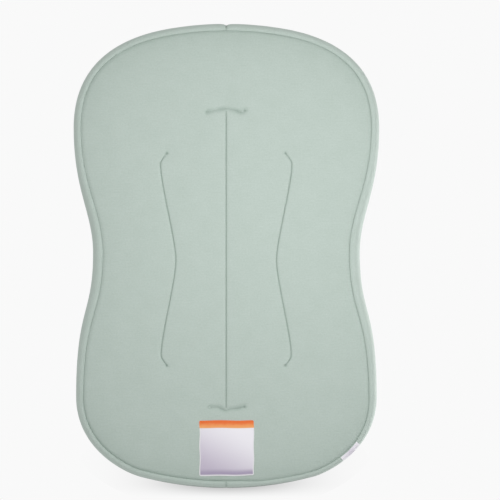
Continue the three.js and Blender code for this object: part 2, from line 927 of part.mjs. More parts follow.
const pull = plateOf(pullShape(), pullBar).translate(0, 0, -pullBar / 2);

const endStop = (side) =>
  block(
    [0, stopLength],
    [side * toothReach, (side * chainWidth) / 2],
    [chainFoot, chainTop],
  );
const startStop = block(
  [-stopLength, 0],
  [-chainWidth / 2, chainWidth / 2],
  [chainFoot, chainTop],
);

// The tab over the closed end of the zip lies on the cover's face.
function endTabSection(at) {
  const tabAngle = (at.hemAngle * endTabHalfWidth) / hemRun;
  const spots = [-tabAngle, 0, tabAngle].map((turn) => outerSlope(at, at.seamAngle + turn));
  const layer = (depth) => spots.map((spot) => under(at, spot, depth));
  return [...layer(-layerGap), ...layer(-layerGap - endTabThickness).toReversed()];
}

const endTabFrom = ((footArcRun - endTabRoom) * footArcRadius) / chainRadius;
const endTab = loft(alongOutline(endTabFrom, endTabFrom + endTabLength, endTabSection));

// Materials and pieces.

const lounger = new THREE.Group();

function piece(name, geometry, { color, roughness, metalness = 0 }) {
  const material = new THREE.MeshStandardMaterial({ color, roughness, metalness });
  const mesh = new THREE.Mesh(geometry, material);
  mesh.name = name;
  lounger.add(mesh);
  return mesh;
}

// A piece drawn along, up and out from the chain, put at a run along it.
function zipPiece(name, geometry, run, height, look) {
  const mesh = piece(name, geometry, look);
  const angle = runAngle(run);
  const travel = point(Math.cos(angle), Math.sin(angle), 0);
  const inward = point(-Math.sin(angle), Math.cos(angle), 0);
  const upright = point(0, 0, 1);
  const turned = (way) => inward.clone().multiplyScalar(way.x).addScaledVector(upright, way.y);
  const basis = new THREE.Matrix4().makeBasis(travel, turned(zipUp), turned(zipOut));
  mesh.quaternion.setFromRotationMatrix(basis);
  mesh.position.copy(turnedPoint(angle, zipSpot(0, height)));
  return mesh;
}

const knit = { color: "#c0cdc6", roughness: 0.95 };
const stuffing = { color: "#f2f1ed", roughness: 1 };
const satin = { color: "#f3f3f5", roughness: 0.7 };
const webbing = { color: "#a9b8b0", roughness: 0.85 };
const nylon = { color: "#9cada4", roughness: 0.5 };
const zinc = { color: "#a4aaa8", roughness: 0.35, metalness: 0.9 };

piece("cover_base_panel", basePanel, knit);
piece("cover_rim_right", rightHalf(rimSection, rimBack), knit);
piece("cover_rim_left", leftHalf(rimSection, rimBack), knit);
piece("cover_top_right", rightHalf(topSection, topBack), knit);
piece("cover_top_left", leftHalf(topSection, topBack), knit);
piece("cover_seat_right", rightHalf(seatSection, seatBack), knit);
piece("cover_seat_left", leftHalf(seatSection, seatBack), knit);
piece("insert_base_pad", basePad, stuffing);
piece("insert_bolster_right", rightHalf(bolsterSection), stuffing);
piece("insert_bolster_left", leftHalf(bolsterSection), stuffing);
piece("insert_seat_right", rightHalf(seatFillSection), stuffing);
piece("insert_seat_left", leftHalf(seatFillSection), stuffing);
piece("care_label", label.translate(0, labelAt, labelStandOff), satin);
piece("side_tag", sideTag, satin);
piece("zip_tape_upper", tape(topEdge(zipStation), topHem(zipStation), 1), webbing);
piece("zip_tape_lower", tape(rimEdge(zipStation), rimHem(zipStation), -1), webbing);
piece("zip_teeth_upper", teeth(1), nylon);
piece("zip_teeth_lower", teeth(-1), nylon);
zipPiece("zip_slider", slider, sliderAt, 0, zinc);
zipPiece("zip_pull", pull, sliderAt, pullHeight, zinc);
zipPiece("zip_end_stop_upper", endStop(1), endStopAt, 0, zinc);
zipPiece("zip_end_stop_lower", endStop(-1), endStopAt, 0, zinc);
zipPiece("zip_start_stop", startStop, chainStart - layerGap, 0, zinc);
piece("zip_end_tab", endTab, knit);

export default lounger;
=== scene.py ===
# %% [markdown]
# An infant lounger seen from below: a stuffed ring round a low padded seat, in a sage-grey knit
# cover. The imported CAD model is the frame. Each soft panel is rebuilt here from the same outline
# and the same cross-section, but with enough points for folded seams, creases and small ripples
# in the cloth.

import bpy
import bmesh
import math
import numpy as np
from types import SimpleNamespace as Stations
from mathutils import Matrix, Vector
from mathutils.geometry import delaunay_2d_cdt


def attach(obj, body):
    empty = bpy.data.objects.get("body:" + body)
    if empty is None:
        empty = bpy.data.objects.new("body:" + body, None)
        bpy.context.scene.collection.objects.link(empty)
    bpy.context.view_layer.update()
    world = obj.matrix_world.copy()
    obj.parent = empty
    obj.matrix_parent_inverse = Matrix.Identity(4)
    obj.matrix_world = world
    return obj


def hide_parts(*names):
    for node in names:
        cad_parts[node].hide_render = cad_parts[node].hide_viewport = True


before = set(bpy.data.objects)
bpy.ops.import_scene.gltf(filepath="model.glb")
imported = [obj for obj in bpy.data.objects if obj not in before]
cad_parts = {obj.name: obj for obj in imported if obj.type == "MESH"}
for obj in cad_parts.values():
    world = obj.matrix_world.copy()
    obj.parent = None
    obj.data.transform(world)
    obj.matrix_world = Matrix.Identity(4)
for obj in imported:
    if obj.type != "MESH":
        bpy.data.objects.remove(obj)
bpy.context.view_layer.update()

# %% [markdown]
# All lengths are in metres and repeat the part's own named sizes, so that a panel lands exactly
# where its solid is. The outline is one half, from the middle of the foot end to the middle of
# the head end. The other half is its mirror image.

# %% Sizes of the lounger
MM = 0.001
HALVES = {"right": 1, "left": -1}
HALF_LENGTH = 330 * MM
WIDE = {
    "head": np.array([217.5, 182]) * MM,
    "waist": np.array([190, 4]) * MM,
    "foot": np.array([214, -200]) * MM,
}
SEAT = {
    "head": np.array([92.5, 129]) * MM,
    "waist": np.array([70.5, -6]) * MM,
    "foot": np.array([91.5, -139.5]) * MM,
}
SEAT_END = {"head": 208 * MM, "foot": -215.5 * MM}
ARC_RADIUS = 480 * MM
FOOT_ARC = 125.7 * MM / ARC_RADIUS
HEAD_ARC = 83.8 * MM / ARC_RADIUS
HEIGHT = {"foot": 82 * MM, "side": 100 * MM, "head": 94 * MM}
WIDEST_Z = 38 * MM
RIM_SEAM_Z = 60 * MM
RIM_LOW_Z = 3.4 * MM
SEAM_LOW_Z = 4.5 * MM
CREST = 56 * MM
STRAIGHT = 24 * MM
COVER = 2.4 * MM
FILL_DEPTH = COVER + 0.3 * MM
FILL_BOTTOM = 13 * MM
SEAT_SEAM_Z = FILL_BOTTOM + 18 * MM + FILL_DEPTH
SEAT_CROWN = 9 * MM
SEAM_HALF_OPEN = 0.15 * MM
ZIP_HALF_OPEN = 5.2 * MM
ZIP_HEM = 1.4 * MM
ZIP_RUN = 125.7 * MM
SEAM_GAP = 0.1 * MM
SEAT_GAP = 0.15 * MM
# The rim's underside turns up over this share of the way in to the base seam.
UNDERSIDE = 0.75
print("the lounger is", 2 * HALF_LENGTH, "m long")


# %% Curves
def smooth(share):
    share = np.clip(share, 0, 1)
    return share * share * (3 - 2 * share)


def bezier(a, leave, b, arrive, count=600):
    """Points of a curve from a to b that sets out and arrives along the given reaches."""
    t = np.linspace(0, 1, count)[:, None]
    a, b = np.array(a, float), np.array(b, float)
    c, d = a + np.array(leave), b - np.array(arrive)
    return (1 - t) ** 3 * a + 3 * t * (1 - t) ** 2 * c + 3 * t * t * (1 - t) * d + t**3 * b


def upward(a, leave, b, arrive):
    """A curve from a to b that leaves and arrives straight along Y, by shares of its length."""
    reach = b[1] - a[1]
    return bezier(a, [0, leave * reach], b, [0, arrive * reach])


def arc(centre_y, start, end, count=600):
    t = np.linspace(start, end, count)
    return np.stack([ARC_RADIUS * np.cos(t), centre_y + ARC_RADIUS * np.sin(t)], 1)


def joined(*curves):
    return np.concatenate([curves[0]] + [c[1:] for c in curves[1:]])


def run_of(line):
    """The distance along a line of points, at each of them."""
    return np.concatenate([[0], np.cumsum(np.linalg.norm(np.diff(line, axis=0), axis=1))])


def at_run(line, run):
    return np.stack([np.interp(run, run_of(line), column) for column in line.T], 1)


def resampled(line, spacing):
    length = run_of(line)[-1]
    return at_run(line, np.linspace(0, length, max(3, round(length / spacing) + 1)))


def unit(vectors):
    return vectors / np.linalg.norm(vectors, axis=-1, keepdims=True)


def ways(line, run, step=0.4 * MM):
    """The unit directions of a line at some distances along it."""
    end = run_of(line)[-1]
    return unit(at_run(line, np.minimum(run + step, end)) - at_run(line, np.maximum(run - step, 0)))


print("curve tools made")

# %% Outline and seat seam of the right half
def arc_end(turn, side):
    """Where the arc of the head end (1) or foot end (-1) meets its corner."""
    end = np.array([math.sin(turn), side * math.cos(turn)]) * ARC_RADIUS
    return end + [0, side * (HALF_LENGTH - ARC_RADIUS)]


foot, head = arc_end(FOOT_ARC, -1), arc_end(HEAD_ARC, 1)
foot_way = np.array([math.cos(FOOT_ARC), math.sin(FOOT_ARC)])
head_way = np.array([-math.cos(HEAD_ARC), math.sin(HEAD_ARC)])
foot_reach, head_reach = WIDE["foot"] - foot, head - WIDE["head"]
outline = {
    "foot_end": joined(
        arc(ARC_RADIUS - HALF_LENGTH, -math.pi / 2, FOOT_ARC - math.pi / 2),
        bezier(foot, foot_way * 0.2 * foot_reach[0], WIDE["foot"], [0, 0.675 * foot_reach[1]]),
    ),
    "foot_side": upward(WIDE["foot"], 0.635, WIDE["waist"], 0.435),
    "head_side": upward(WIDE["waist"], 0.32, WIDE["head"], 0.51),
    "head_end": joined(
        bezier(WIDE["head"], [0, 0.65 * head_reach[1]], head, head_way * -0.53 * head_reach[0]),
        arc(HALF_LENGTH - ARC_RADIUS, math.pi / 2 - HEAD_ARC, math.pi / 2),
    ),
}
foot, head = ([0, SEAT_END[k]] for k in ("foot", "head"))
foot_reach, head_reach = SEAT["foot"] - foot, head - SEAT["head"]
seat_line = {
    "foot_end": bezier(foot, [0.6 * foot_reach[0], 0], SEAT["foot"], [0, 0.6 * foot_reach[1]]),
    "foot_side": upward(SEAT["foot"], 0.45, SEAT["waist"], 0.45),
    "head_side": upward(SEAT["waist"], 0.45, SEAT["head"], 0.45),
    "head_end": bezier(SEAT["head"], [0, 0.6 * head_reach[1]], head, [0.6 * head_reach[0], 0]),
}
print("half outline:", round(sum(run_of(c)[-1] for c in outline.values()), 4), "m")

# %% [markdown]
# A station is a place on the outline where the ring is cut across. The stations lie about 4 mm
# apart, and closer beside the two cross seams, where the cloth is drawn in. Each one knows its
# way in to the seat's seam, its height and how far the zip holds the cloth open. A section is
# drawn with spots, which are pairs of an inset from the edge and a height.

# %% Stations
NEAR = np.array([0, 0.4, 0.9, 1.5, 2.3, 3.3, 4.6, 6.2, 8.5, 12]) * MM
NO_END = 9.0


def stations_at(spacing):
    """Stations of the right half: arrays with a row for each, of one number or a place in plan."""
    rows = []
    for name, line in outline.items():
        seat, length = seat_line[name], run_of(line)[-1]
        run = np.linspace(0, length, max(4, round(length / spacing)) + 1)
        if name == "foot_end":
            run = np.concatenate([NEAR, run[run > NEAR[-1] + spacing / 2]])
        elif name == "head_end":
            run = run[run < length - NEAR[-1] - spacing / 2]
            run = np.concatenate([run, length - NEAR[::-1]])[1:]
        else:
            run = run[1:]
        share, way = run / length, ways(line, run)
        part = ARC_RADIUS * FOOT_ARC / length
        low, high, grown = {
            "foot_end": (HEIGHT["foot"], HEIGHT["side"], smooth((share - part) / (1 - part))),
            "head_end": (HEIGHT["side"], HEIGHT["head"], smooth(share)),
        }.get(name, (HEIGHT["side"], HEIGHT["side"], share))
        waist = {"foot_side": smooth(share), "head_side": smooth(1 - share)}.get(name, 0 * share)
        from_foot = run if name == "foot_end" else NO_END + 0 * run
        from_head = length - run if name == "head_end" else NO_END + 0 * run
        places = [at_run(line, run), -way[:, 1], way[:, 0], at_run(seat, share * run_of(seat)[-1])]
        numbers = [low + (high - low) * grown, (13 + 3.5 * waist) * MM, from_foot, from_head]
        rows.append(np.column_stack(places + numbers))
    table = np.concatenate(rows)
    edge, inward, seat = table[:, 0:2], table[:, 2:4], table[:, 4:6]
    height, seam, from_foot, from_head = table[:, 6:].T[..., None]
    inward[[0, -1]] = [[0, 1], [0, -1]]
    turn = edge + inward * STRAIGHT
    length = np.linalg.norm(seat - turn, axis=1, keepdims=True)
    run, middle = run_of(edge)[:, None], np.minimum(from_foot, from_head)
    opened = 1 - smooth((run - ZIP_RUN) / (6 * MM))
    rise = height - WIDEST_Z
    angle = np.arcsin((RIM_SEAM_Z - WIDEST_Z) / rise)
    cross = np.where(from_foot < from_head, 0.4, 2.5) * MM * np.exp(-((middle / (3.3 * MM)) ** 1.1))
    return Stations(
        run=run, edge=edge, inward=inward, seat=seat, turn=turn, to_seat=(seat - turn) / length,
        width=STRAIGHT + length, height=height, seam=seam, middle=middle, cross=cross,
        opened=opened, shut=1 - opened, rise=rise, seam_angle=angle,
        open=SEAM_HALF_OPEN + (ZIP_HALF_OPEN - SEAM_HALF_OPEN) * opened,
        hem=COVER + (ZIP_HEM - COVER) * opened,
        speed=np.hypot(CREST * np.sin(angle), rise * np.cos(angle)),
    )


fine, coarse = stations_at(4 * MM), stations_at(12 * MM)
print(len(fine.run), "fine and", len(coarse.run), "coarse stations")


# %% Cross-section
def spots(inset, height):
    return np.stack(np.broadcast_arrays(inset, height), -1)


def quarter(share):
    return np.atleast_2d(share) * math.pi / 2


def low_rim(at, share):
    """Spots and outward ways on the rim below its widest line, at shares of a quarter turn."""
    angle, run, rise = quarter(share), UNDERSIDE * at.seam, WIDEST_Z - RIM_LOW_Z
    place = spots(run * (1 - np.cos(angle)), WIDEST_Z - rise * np.sin(angle))
    return place, unit(spots(-rise * np.cos(angle), -run * np.sin(angle)))


def outer_slope(at, angle):
    """Spots and outward ways between the widest line and the crest, at angles."""
    place = spots(CREST * (1 - np.cos(angle)), WIDEST_Z + at.rise * np.sin(angle))
    return place, unit(spots(-at.rise * np.cos(angle), CREST * np.sin(angle)))


def inner_slope(at, share):
    """Spots and outward ways from the crest to the seat's seam, at shares of a quarter turn."""
    angle, run, rise = quarter(share), at.width - CREST, at.height - SEAT_SEAM_Z
    place = spots(CREST + run * np.sin(angle), SEAT_SEAM_Z + rise * np.cos(angle))
    return place, unit(spots(rise * np.sin(angle), run * np.cos(angle)))


def under(spot, depth):
    """Spots moved in under the surface by some depth."""
    place, out = spot
    return place - out * np.asarray(depth)[..., None]


def in_space(at, place):
    """Spots of a section in space. Its way in turns softly from the outline's to the seat's."""
    inset, start = place[..., 0:1], STRAIGHT / 2
    edge, inward, turn, to_seat = (v[:, None] for v in (at.edge, at.inward, at.turn, at.to_seat))
    part = np.clip((inset - start) / STRAIGHT, 0, 1)
    bend = (1 - part) ** 2 * (edge + inward * start) + 2 * part * (1 - part) * turn
    bend = bend + part**2 * (turn + to_seat * start)
    plan = np.where(inset > start + STRAIGHT, turn + to_seat * (inset - STRAIGHT), bend)
    plan = np.where(inset < start, edge + inward * inset, plan)
    plan[..., 0] = np.maximum(plan[..., 0], 0.03 * MM)
    return np.concatenate([plan, place[..., 1:2]], -1)


print("cross-section tools made")

# %% [markdown]
# The cloth is never quite even. Ripples along a seam are sums of a few long and short waves with
# fixed phases, so that every run of the script gives the same folds.

# %% Ripples
def ripple(run, seed, waves=(31, 19, 11.5, 7.3)):
    """A wavy number from -1 to 1 at each distance along a seam."""
    total = 0 * run
    for k, wave in enumerate(waves):
        phase = (seed * 1.7 + k * 2.3) % (2 * math.pi)
        drift = 0.6 * np.sin(run / (97 * MM) + seed + k)
        total += np.sin(2 * math.pi * run / (wave * MM) + phase + drift) / (1 + 0.5 * k)
    return total / 2.2


def near(distance, reach, power=1.0):
    """1 at no distance, and falling off beyond a reach."""
    return np.exp(-((np.abs(distance) / reach) ** power))


print("a ripple's first heights:", ripple(fine.run[:3, 0], 0).round(3))

# %% [markdown]
# A panel is one closed skin: a ring of points at each station, outer face and inner face, joined
# to the next ring. Each point also gets a UV place in metres, along the outline and across the
# panel, for the knit to follow, and a painted shade value from 0 to 1 that darkens the knit where
# the cloth is sewn down.

# %% Skin builder
SHARP = {"soft": math.radians(55), "hard": math.radians(35)}


def linked(name, data):
    thing = bpy.data.objects.new(name, data)
    bpy.context.scene.collection.objects.link(thing)
    return thing


def active_only(*things):
    bpy.ops.object.select_all(action="DESELECT")
    for thing in things:
        thing.select_set(True)
    bpy.context.view_layer.objects.active = things[0]


def mesh_object(name, points, faces, uv, painted_shade=None):
    mesh = bpy.data.meshes.new(name)
    mesh.from_pydata(np.asarray(points).tolist(), [], [tuple(int(i) for i in f) for f in faces])
    layer = mesh.uv_layers.new(name="UVMap")
    corner = np.zeros(len(mesh.loops), dtype=np.int64)
    mesh.loops.foreach_get("vertex_index", corner)
    layer.data.foreach_set("uv", np.asarray(uv, float)[corner].ravel())
    # Each point's painted shade value, which darkens the knit, is kept as an attribute.
    value = mesh.attributes.new("painted_shade", "FLOAT", "POINT")
    value.data.foreach_set("value", np.zeros(len(points)) if painted_shade is None else painted_shade.ravel())
    mesh.validate()
    work = bmesh.new()
    work.from_mesh(mesh)
    if work.calc_volume(signed=True) < 0:
        bmesh.ops.reverse_faces(work, faces=work.faces)
    work.to_mesh(mesh)
    work.free()
    thing = linked(name, mesh)
    active_only(thing)
    bpy.ops.object.shade_smooth_by_angle(angle=SHARP["soft"])
    return thing


def bands(index):
    """Faces between the neighbouring rings of a grid of point numbers."""
    after = np.roll(index, -1, axis=1)
    return np.stack([index[:-1], after[:-1], after[1:], index[1:]], -1).reshape(-1, 4).tolist()


def tube(name, rings, uv, painted_shade=None):
    """A mesh through rings of points, closed at its first and last ring."""
    stations, count = rings.shape[:2]
    faces = bands(np.arange(stations * count).reshape(-1, count))
    faces += [range(count - 1, -1, -1), range((stations - 1) * count, stations * count)]
    return mesh_object(name, rings.reshape(-1, 3), faces, uv, painted_shade)


def skin(name, run, rings, side, painted_shade=None):
    """A closed skin through rings at runs along the outline, on the right (1) or left (-1) side."""
    steps = np.linalg.norm(np.diff(rings, axis=1), axis=2)
    across = np.cumsum(np.pad(steps, ((0, 0), (1, 0))), axis=1)
    return tube(name, rings * [side, 1, 1], spots(run * side, across).reshape(-1, 2), painted_shade)


def hand_over(thing, material, slot, cad=(), fill=None, body="lounger"):
    """Gives a piece its material, and tells the frame what it rides on and which parts it replaces.
    """
    thing.data.materials.append(material)
    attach(thing, body)
    if cad:
        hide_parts(*cad)
    print(thing.name, len(thing.data.polygons), "faces")
    return thing


def half(label, name, cad, maker, at, material, slot, fill):
    """The right or left half of a soft form, through the rings that its maker gives."""
    rings, painted_shade = maker(at, HALVES[label])
    piece = skin(f"{name}_{label}", at.run, rings, HALVES[label], painted_shade)
    hand_over(piece, material, slot, [f"{cad}_{label}"], fill)


print("skin builder made")

# %% [markdown]
# The finishes come before the pieces. The knit is one shader group that several materials share:
# fine rows of V-shaped loops, long pale and dark slubs that run along the rows, and painted shade,
# a darker tone where a seam or sewn line draws the cloth in. It works on UV places in metres, so
# it has the real scale.

# %% Node helpers
def new_group(name, inputs, outputs):
    """A node group with inputs of given values, None for a place, and outputs of given kinds."""
    group = bpy.data.node_groups.new(name, "ShaderNodeTree")
    for label, value in inputs.items():
        kind = "Vector" if value is None else "Float" if isinstance(value, float) else "Color"
        socket = group.interface.new_socket(label, in_out="INPUT", socket_type="NodeSocket" + kind)
        if value is not None:
            socket.default_value = value
    for label, kind in outputs.items():
        group.interface.new_socket(label, in_out="OUTPUT", socket_type="NodeSocket" + kind)
    given, shown = (group.nodes.new(f"NodeGroup{end}") for end in ("Input", "Output"))
    return group, given.outputs, shown.inputs


def node(tree, kind, settings=None, **inputs):
    """A new node. An input is named, or numbered after a low line, and holds a value or a link."""
    made = tree.nodes.new("ShaderNode" + kind)
    for key, value in (settings or {}).items():
        setattr(made, key, value)
    for key, value in inputs.items():
        label = int(key[1:]) if key[0] == "_" and key[1:].isdigit() else key.replace("_", " ")
        if isinstance(value, bpy.types.NodeSocket):
            tree.links.new(value, made.inputs[label])
        else:
            made.inputs[label].default_value = value
    return made


def math_node(tree, operation, a, b=0.0, c=0.0):
    return node(tree, "Math", {"operation": operation}, _0=a, _1=b, _2=c).outputs[0]


def mapped(tree, value, start, end, low, high, kind="SMOOTHSTEP"):
    """A value from start to end, mapped to low to high."""
    limits = {"_1": start, "_2": end, "_3": low, "_4": high}
    return node(tree, "MapRange", {"interpolation_type": kind}, Value=value, **limits).outputs[0]


def mix_colour(tree, factor, a, b, blend="MIX"):
    settings = {"data_type": "RGBA", "blend_type": blend}
    return node(tree, "Mix", settings, _0=factor, _6=a, _7=b).outputs[2]


def grey(tree, level):
    return node(tree, "CombineColor", _0=level, _1=level, _2=level).outputs[0]


def rgb(*values):
    """A colour read from a picture, as the linear value that Blender works in."""
    curve = ((v / 255 / 12.92) if v <= 10 else ((v / 255 + 0.055) / 1.055) ** 2.4 for v in values)
    return (*curve, 1.0)


def new_material(name):
    material = bpy.data.materials.new(name)
    material.use_nodes = True
    return material, material.node_tree, material.node_tree.nodes["Principled BSDF"]


def cloth_material(name, group, values, bump, depth, painted_shade, finish):
    """Lays a cloth group on the UV places, with its relief and its finish values."""
    material, tree, shader = new_material(name)
    place = node(tree, "TexCoord").outputs["UV"]
    cloth = node(tree, "Group", {"node_tree": group}, Place=place, **values)
    # A material with painted shade reads it from the points' attribute.
    if painted_shade:
        value = node(tree, "Attribute", {"attribute_name": "painted_shade"})
        tree.links.new(value.outputs["Fac"], cloth.inputs["Painted shade"])
    relief = node(tree, "Bump", Height=cloth.outputs["Height"], Strength=bump, Distance=depth)
    tree.links.new(cloth.outputs["Color"], shader.inputs["Base Color"])
    tree.links.new(relief.outputs["Normal"], shader.inputs["Normal"])
    if "Roughness" in cloth.outputs:
        tree.links.new(cloth.outputs["Roughness"], shader.inputs["Roughness"])
    for label, value in finish.items():
        shader.inputs[label].default_value = value
    return material


print("node helpers made")

# %% Knit group
knit, given, shown = new_group(
    "Knit rows",
    {
        "Place": None, "Pale": (0.6, 0.6, 0.6, 1), "Dark": (0.4, 0.4, 0.4, 1),
        "Loop": 0.0011, "Slub": 0.5, "Painted shade": 0.0,
    },
    {"Color": "Color", "Height": "Float", "Roughness": "Float"},
)
place = node(knit, "SeparateXYZ", _0=given["Place"]).outputs
column = math_node(knit, "DIVIDE", place["X"], given["Loop"])
row = math_node(knit, "DIVIDE", place["Y"], math_node(knit, "MULTIPLY", given["Loop"], 0.8))
lean = math_node(knit, "PINGPONG", column, 0.5)
wave = math_node(knit, "MULTIPLY", math_node(knit, "ADD", row, lean), 2 * math.pi)
wave = math_node(knit, "SINE", wave)
rib = math_node(knit, "SINE", math_node(knit, "MULTIPLY", lean, 2 * math.pi))
loops = math_node(knit, "MULTIPLY_ADD", wave, 0.5, math_node(knit, "MULTIPLY", rib, 0.6))
stretched = node(
    knit, "Mapping", {"vector_type": "POINT"}, Vector=given["Place"], Scale=(55.0, 900.0, 1.0)
).outputs[0]
slub = node(knit, "TexNoise", Vector=stretched, Scale=1.0, Detail=3.0, Roughness=0.6).outputs[0]
patch = node(knit, "TexNoise", Vector=given["Place"], Scale=38.0, Detail=2.0).outputs[0]
grain = node(knit, "TexNoise", Vector=given["Place"], Scale=420.0, Detail=3.0).outputs[0]
tone = math_node(
    knit, "MULTIPLY_ADD", math_node(knit, "SUBTRACT", slub, 0.5),
    math_node(knit, "MULTIPLY", given["Slub"], 3.0),
    math_node(knit, "MULTIPLY_ADD", patch, 0.5, 0.25),
)
tone = math_node(knit, "MULTIPLY_ADD", math_node(knit, "SUBTRACT", grain, 0.5), 1.3, tone)
tone = node(knit, "Clamp", Value=tone).outputs[0]
cloth = mix_colour(knit, tone, given["Dark"], given["Pale"])
loop_shade = grey(knit, math_node(knit, "MULTIPLY_ADD", loops, 0.03, 0.985))
cloth = mix_colour(knit, 1.0, cloth, loop_shade, "MULTIPLY")
# Painted shade: the knit's colour darkened towards this tone where a seam or sewn line draws the
# cloth in.
deep = mix_colour(knit, 1.0, cloth, (0.52, 0.59, 0.55, 1), "MULTIPLY")
height = math_node(knit, "MULTIPLY_ADD", slub, 0.9, math_node(knit, "MULTIPLY", loops, 0.35))
knit.links.new(mix_colour(knit, given["Painted shade"], cloth, deep), shown["Color"])
knit.links.new(height, shown["Height"])
knit.links.new(math_node(knit, "MULTIPLY_ADD", slub, 0.12, 0.86), shown["Roughness"])
print("knit group:", len(knit.nodes), "nodes")


# %% Cloth materials
def knit_material(name, pale, dark, loop, slub, bump, sheen, painted_shade=False):
    values = {"Pale": rgb(*pale), "Dark": rgb(*dark), "Loop": loop * MM, "Slub": slub}
    finish = {"Sheen Weight": sheen, "Sheen Roughness": 0.5, "Specular IOR Level": 0.25}
    return cloth_material(name, knit, values, bump, 0.0004, painted_shade, finish)


sage_knit = knit_material(
    "Sage knit", (196, 209, 202), (182, 197, 188),
    loop=1.1, slub=0.3, bump=0.3, sheen=0.12, painted_shade=True,
)
stuffing_cloth = knit_material(
    "Stuffing case", (242, 241, 237), (226, 225, 220), loop=0.7, slub=0.2, bump=0.3, sheen=0.1
)
tape_weave = knit_material(
    "Zip tape weave", (176, 190, 182), (150, 165, 157), loop=0.9, slub=0.15, bump=0.6, sheen=0.05
)
thread = knit_material(
    "Sewing thread", (176, 190, 182), (160, 175, 166), loop=0.3, slub=0.1, bump=0.4, sheen=0.2
)
print("cloth materials made")


# %% [markdown]
# The rim band runs from the base seam, under the lowest fold, out to the widest line and up to
# the seam or zip above it. Both of its edges are drawn in where they are sewn, so the seam reads
# as a fine dark groove with a soft roll on each side. Painted shade darkens the groove and the
# sewn edges as well.

# %% Rim band
def leaned(at):
    """The left half's stations. The picture shows its base seam nearer the edge at the foot."""
    part = smooth((at.run - 15 * MM) / (40 * MM)) * (1 - smooth((at.run - 180 * MM) / (120 * MM)))
    return Stations(**{**vars(at), "seam": at.seam - 2.4 * MM * part})


def painted_shading(at, place, *parts):
    """A section's painted shade values: the given parts, 1 inside the cover, and a cross seam's."""
    inside = np.ones((len(place), place.shape[1] - sum(part.shape[1] for part in parts)))
    return np.maximum(np.concatenate([*parts, inside], 1), near(at.middle, 1.1 * MM) * 0.6)


def drawn(at, away):
    """How far the seams draw the cloth in, at distances from the seam between rim and top."""
    return at.cross + np.minimum(1.1 * MM * at.shut * near(away, 1.6 * MM), at.hem - 0.7 * MM)


def rim_rings(at, side):
    at = at if side > 0 else leaned(at)
    turn = np.linspace(0, 1, 7)[None]
    run = (1 - UNDERSIDE) * at.seam - SEAM_GAP
    inset = UNDERSIDE * at.seam + run * np.cos(quarter(turn))
    height = RIM_LOW_Z + (SEAM_LOW_Z - RIM_LOW_Z) * (1 - np.sin(quarter(turn)))
    wave = ripple(at.run, 3 + side) * 0.22 * MM
    folded = spots(inset, height + wave * turn)[:, :-1]
    shares = np.linspace(1, 0, 15)
    low = under(low_rim(at, shares), wave * shares + at.cross)
    top = at.seam_angle - at.open / at.speed
    part = 1 - (1 - np.linspace(0, 1, 13)[1:]) ** 1.6
    away = (top - top * part) * at.speed
    wave = ripple(at.run, 9 + side) * 0.3 * MM * near(away, 14 * MM) * (0.25 + at.shut)
    slope = under(outer_slope(at, top * part), drawn(at, away) + wave * (1 - near(away, 3 * MM)))
    back = under(outer_slope(at, top * [1, 0.72, 0.4]), at.hem + at.cross)
    inner = under(low_rim(at, [0, 0.3, 0.6, 1]), COVER + at.cross)
    seam = spots(at.seam - SEAM_GAP, RIM_LOW_Z + 1.9 * MM + COVER)
    place = np.concatenate([folded, low, slope, back, inner, seam], 1)
    # Painted shade in the base seam's groove and beside the seam above, where the cloth is drawn
    # in.
    groove_shade = near(at.seam - SEAM_GAP - inset[:, :-1], 0.9 * MM) * 0.3
    parts = groove_shade, 0 * low[..., 0], near(away, MM) * at.shut
    return in_space(at, place), painted_shading(at, place, *parts)


for label in HALVES:
    half(label, "rim_band", "cover_rim", rim_rings, fine, sage_knit, "knit", 0.8)


# %% [markdown]
# Stuffing presses the cloth out, and a cover is cut a little too large, so its panels buckle
# between their seams. A cloth simulation finds that shape: a coarse sheet of each panel is held
# along its seams, grows by a few percent and takes pressure from inside for twenty frames. Only
# the difference from the smooth form is kept, with a cap, and the finely built panel takes it
# over.

# %% Cloth under pressure
FRAMES = 20
CLOTH = {
    "quality": 6, "mass": 0.15, "tension_stiffness": 12, "compression_stiffness": 12,
    "shear_stiffness": 4, "bending_stiffness": 0.03, "air_damping": 2, "vertex_group_mass": "sewn",
    "use_pressure": True,
}


def grid_faces(rows, columns):
    a = np.arange(rows * columns).reshape(rows, columns)
    return np.stack([a[:-1, :-1], a[1:, :-1], a[1:, 1:], a[:-1, 1:]], -1).reshape(-1, 4)


def pressed(name, points, out, pressure, slack):
    """Where a grid of cloth goes under pressure, with its outermost points sewn down."""
    faces = grid_faces(*points.shape[:2])[:, [0, 3, 2, 1]]
    along, across = points[1:, :-1] - points[:-1, :-1], points[:-1, 1:] - points[:-1, :-1]
    if (np.cross(across, along) * out[:-1, :-1]).sum() < 0:
        faces = faces[:, ::-1]
    mesh = bpy.data.meshes.new(name)
    mesh.from_pydata(points.reshape(-1, 3).tolist(), [], faces.tolist())
    sheet = linked(name, mesh)
    sewn_down = np.ones(points.shape[:2], bool)
    sewn_down[1:-1, 1:-1] = False
    held = sheet.vertex_groups.new(name="sewn")
    held.add([int(i) for i in np.flatnonzero(sewn_down)], 1.0, "REPLACE")
    settings = sheet.modifiers.new("Cloth", "CLOTH").settings
    for key, value in CLOTH.items():
        setattr(settings, key, value)
    settings.uniform_pressure_force = pressure
    settings.shrink_min = -slack
    settings.effector_weights.gravity = 0
    for frame_number in range(1, FRAMES + 1):
        bpy.context.scene.frame_set(frame_number)
    shape = sheet.evaluated_get(bpy.context.evaluated_depsgraph_get()).data
    moved = np.zeros(len(shape.vertices) * 3)
    shape.vertices.foreach_get("co", moved)
    bpy.data.objects.remove(sheet)
    bpy.context.scene.frame_set(1)
    return moved.reshape(points.shape)


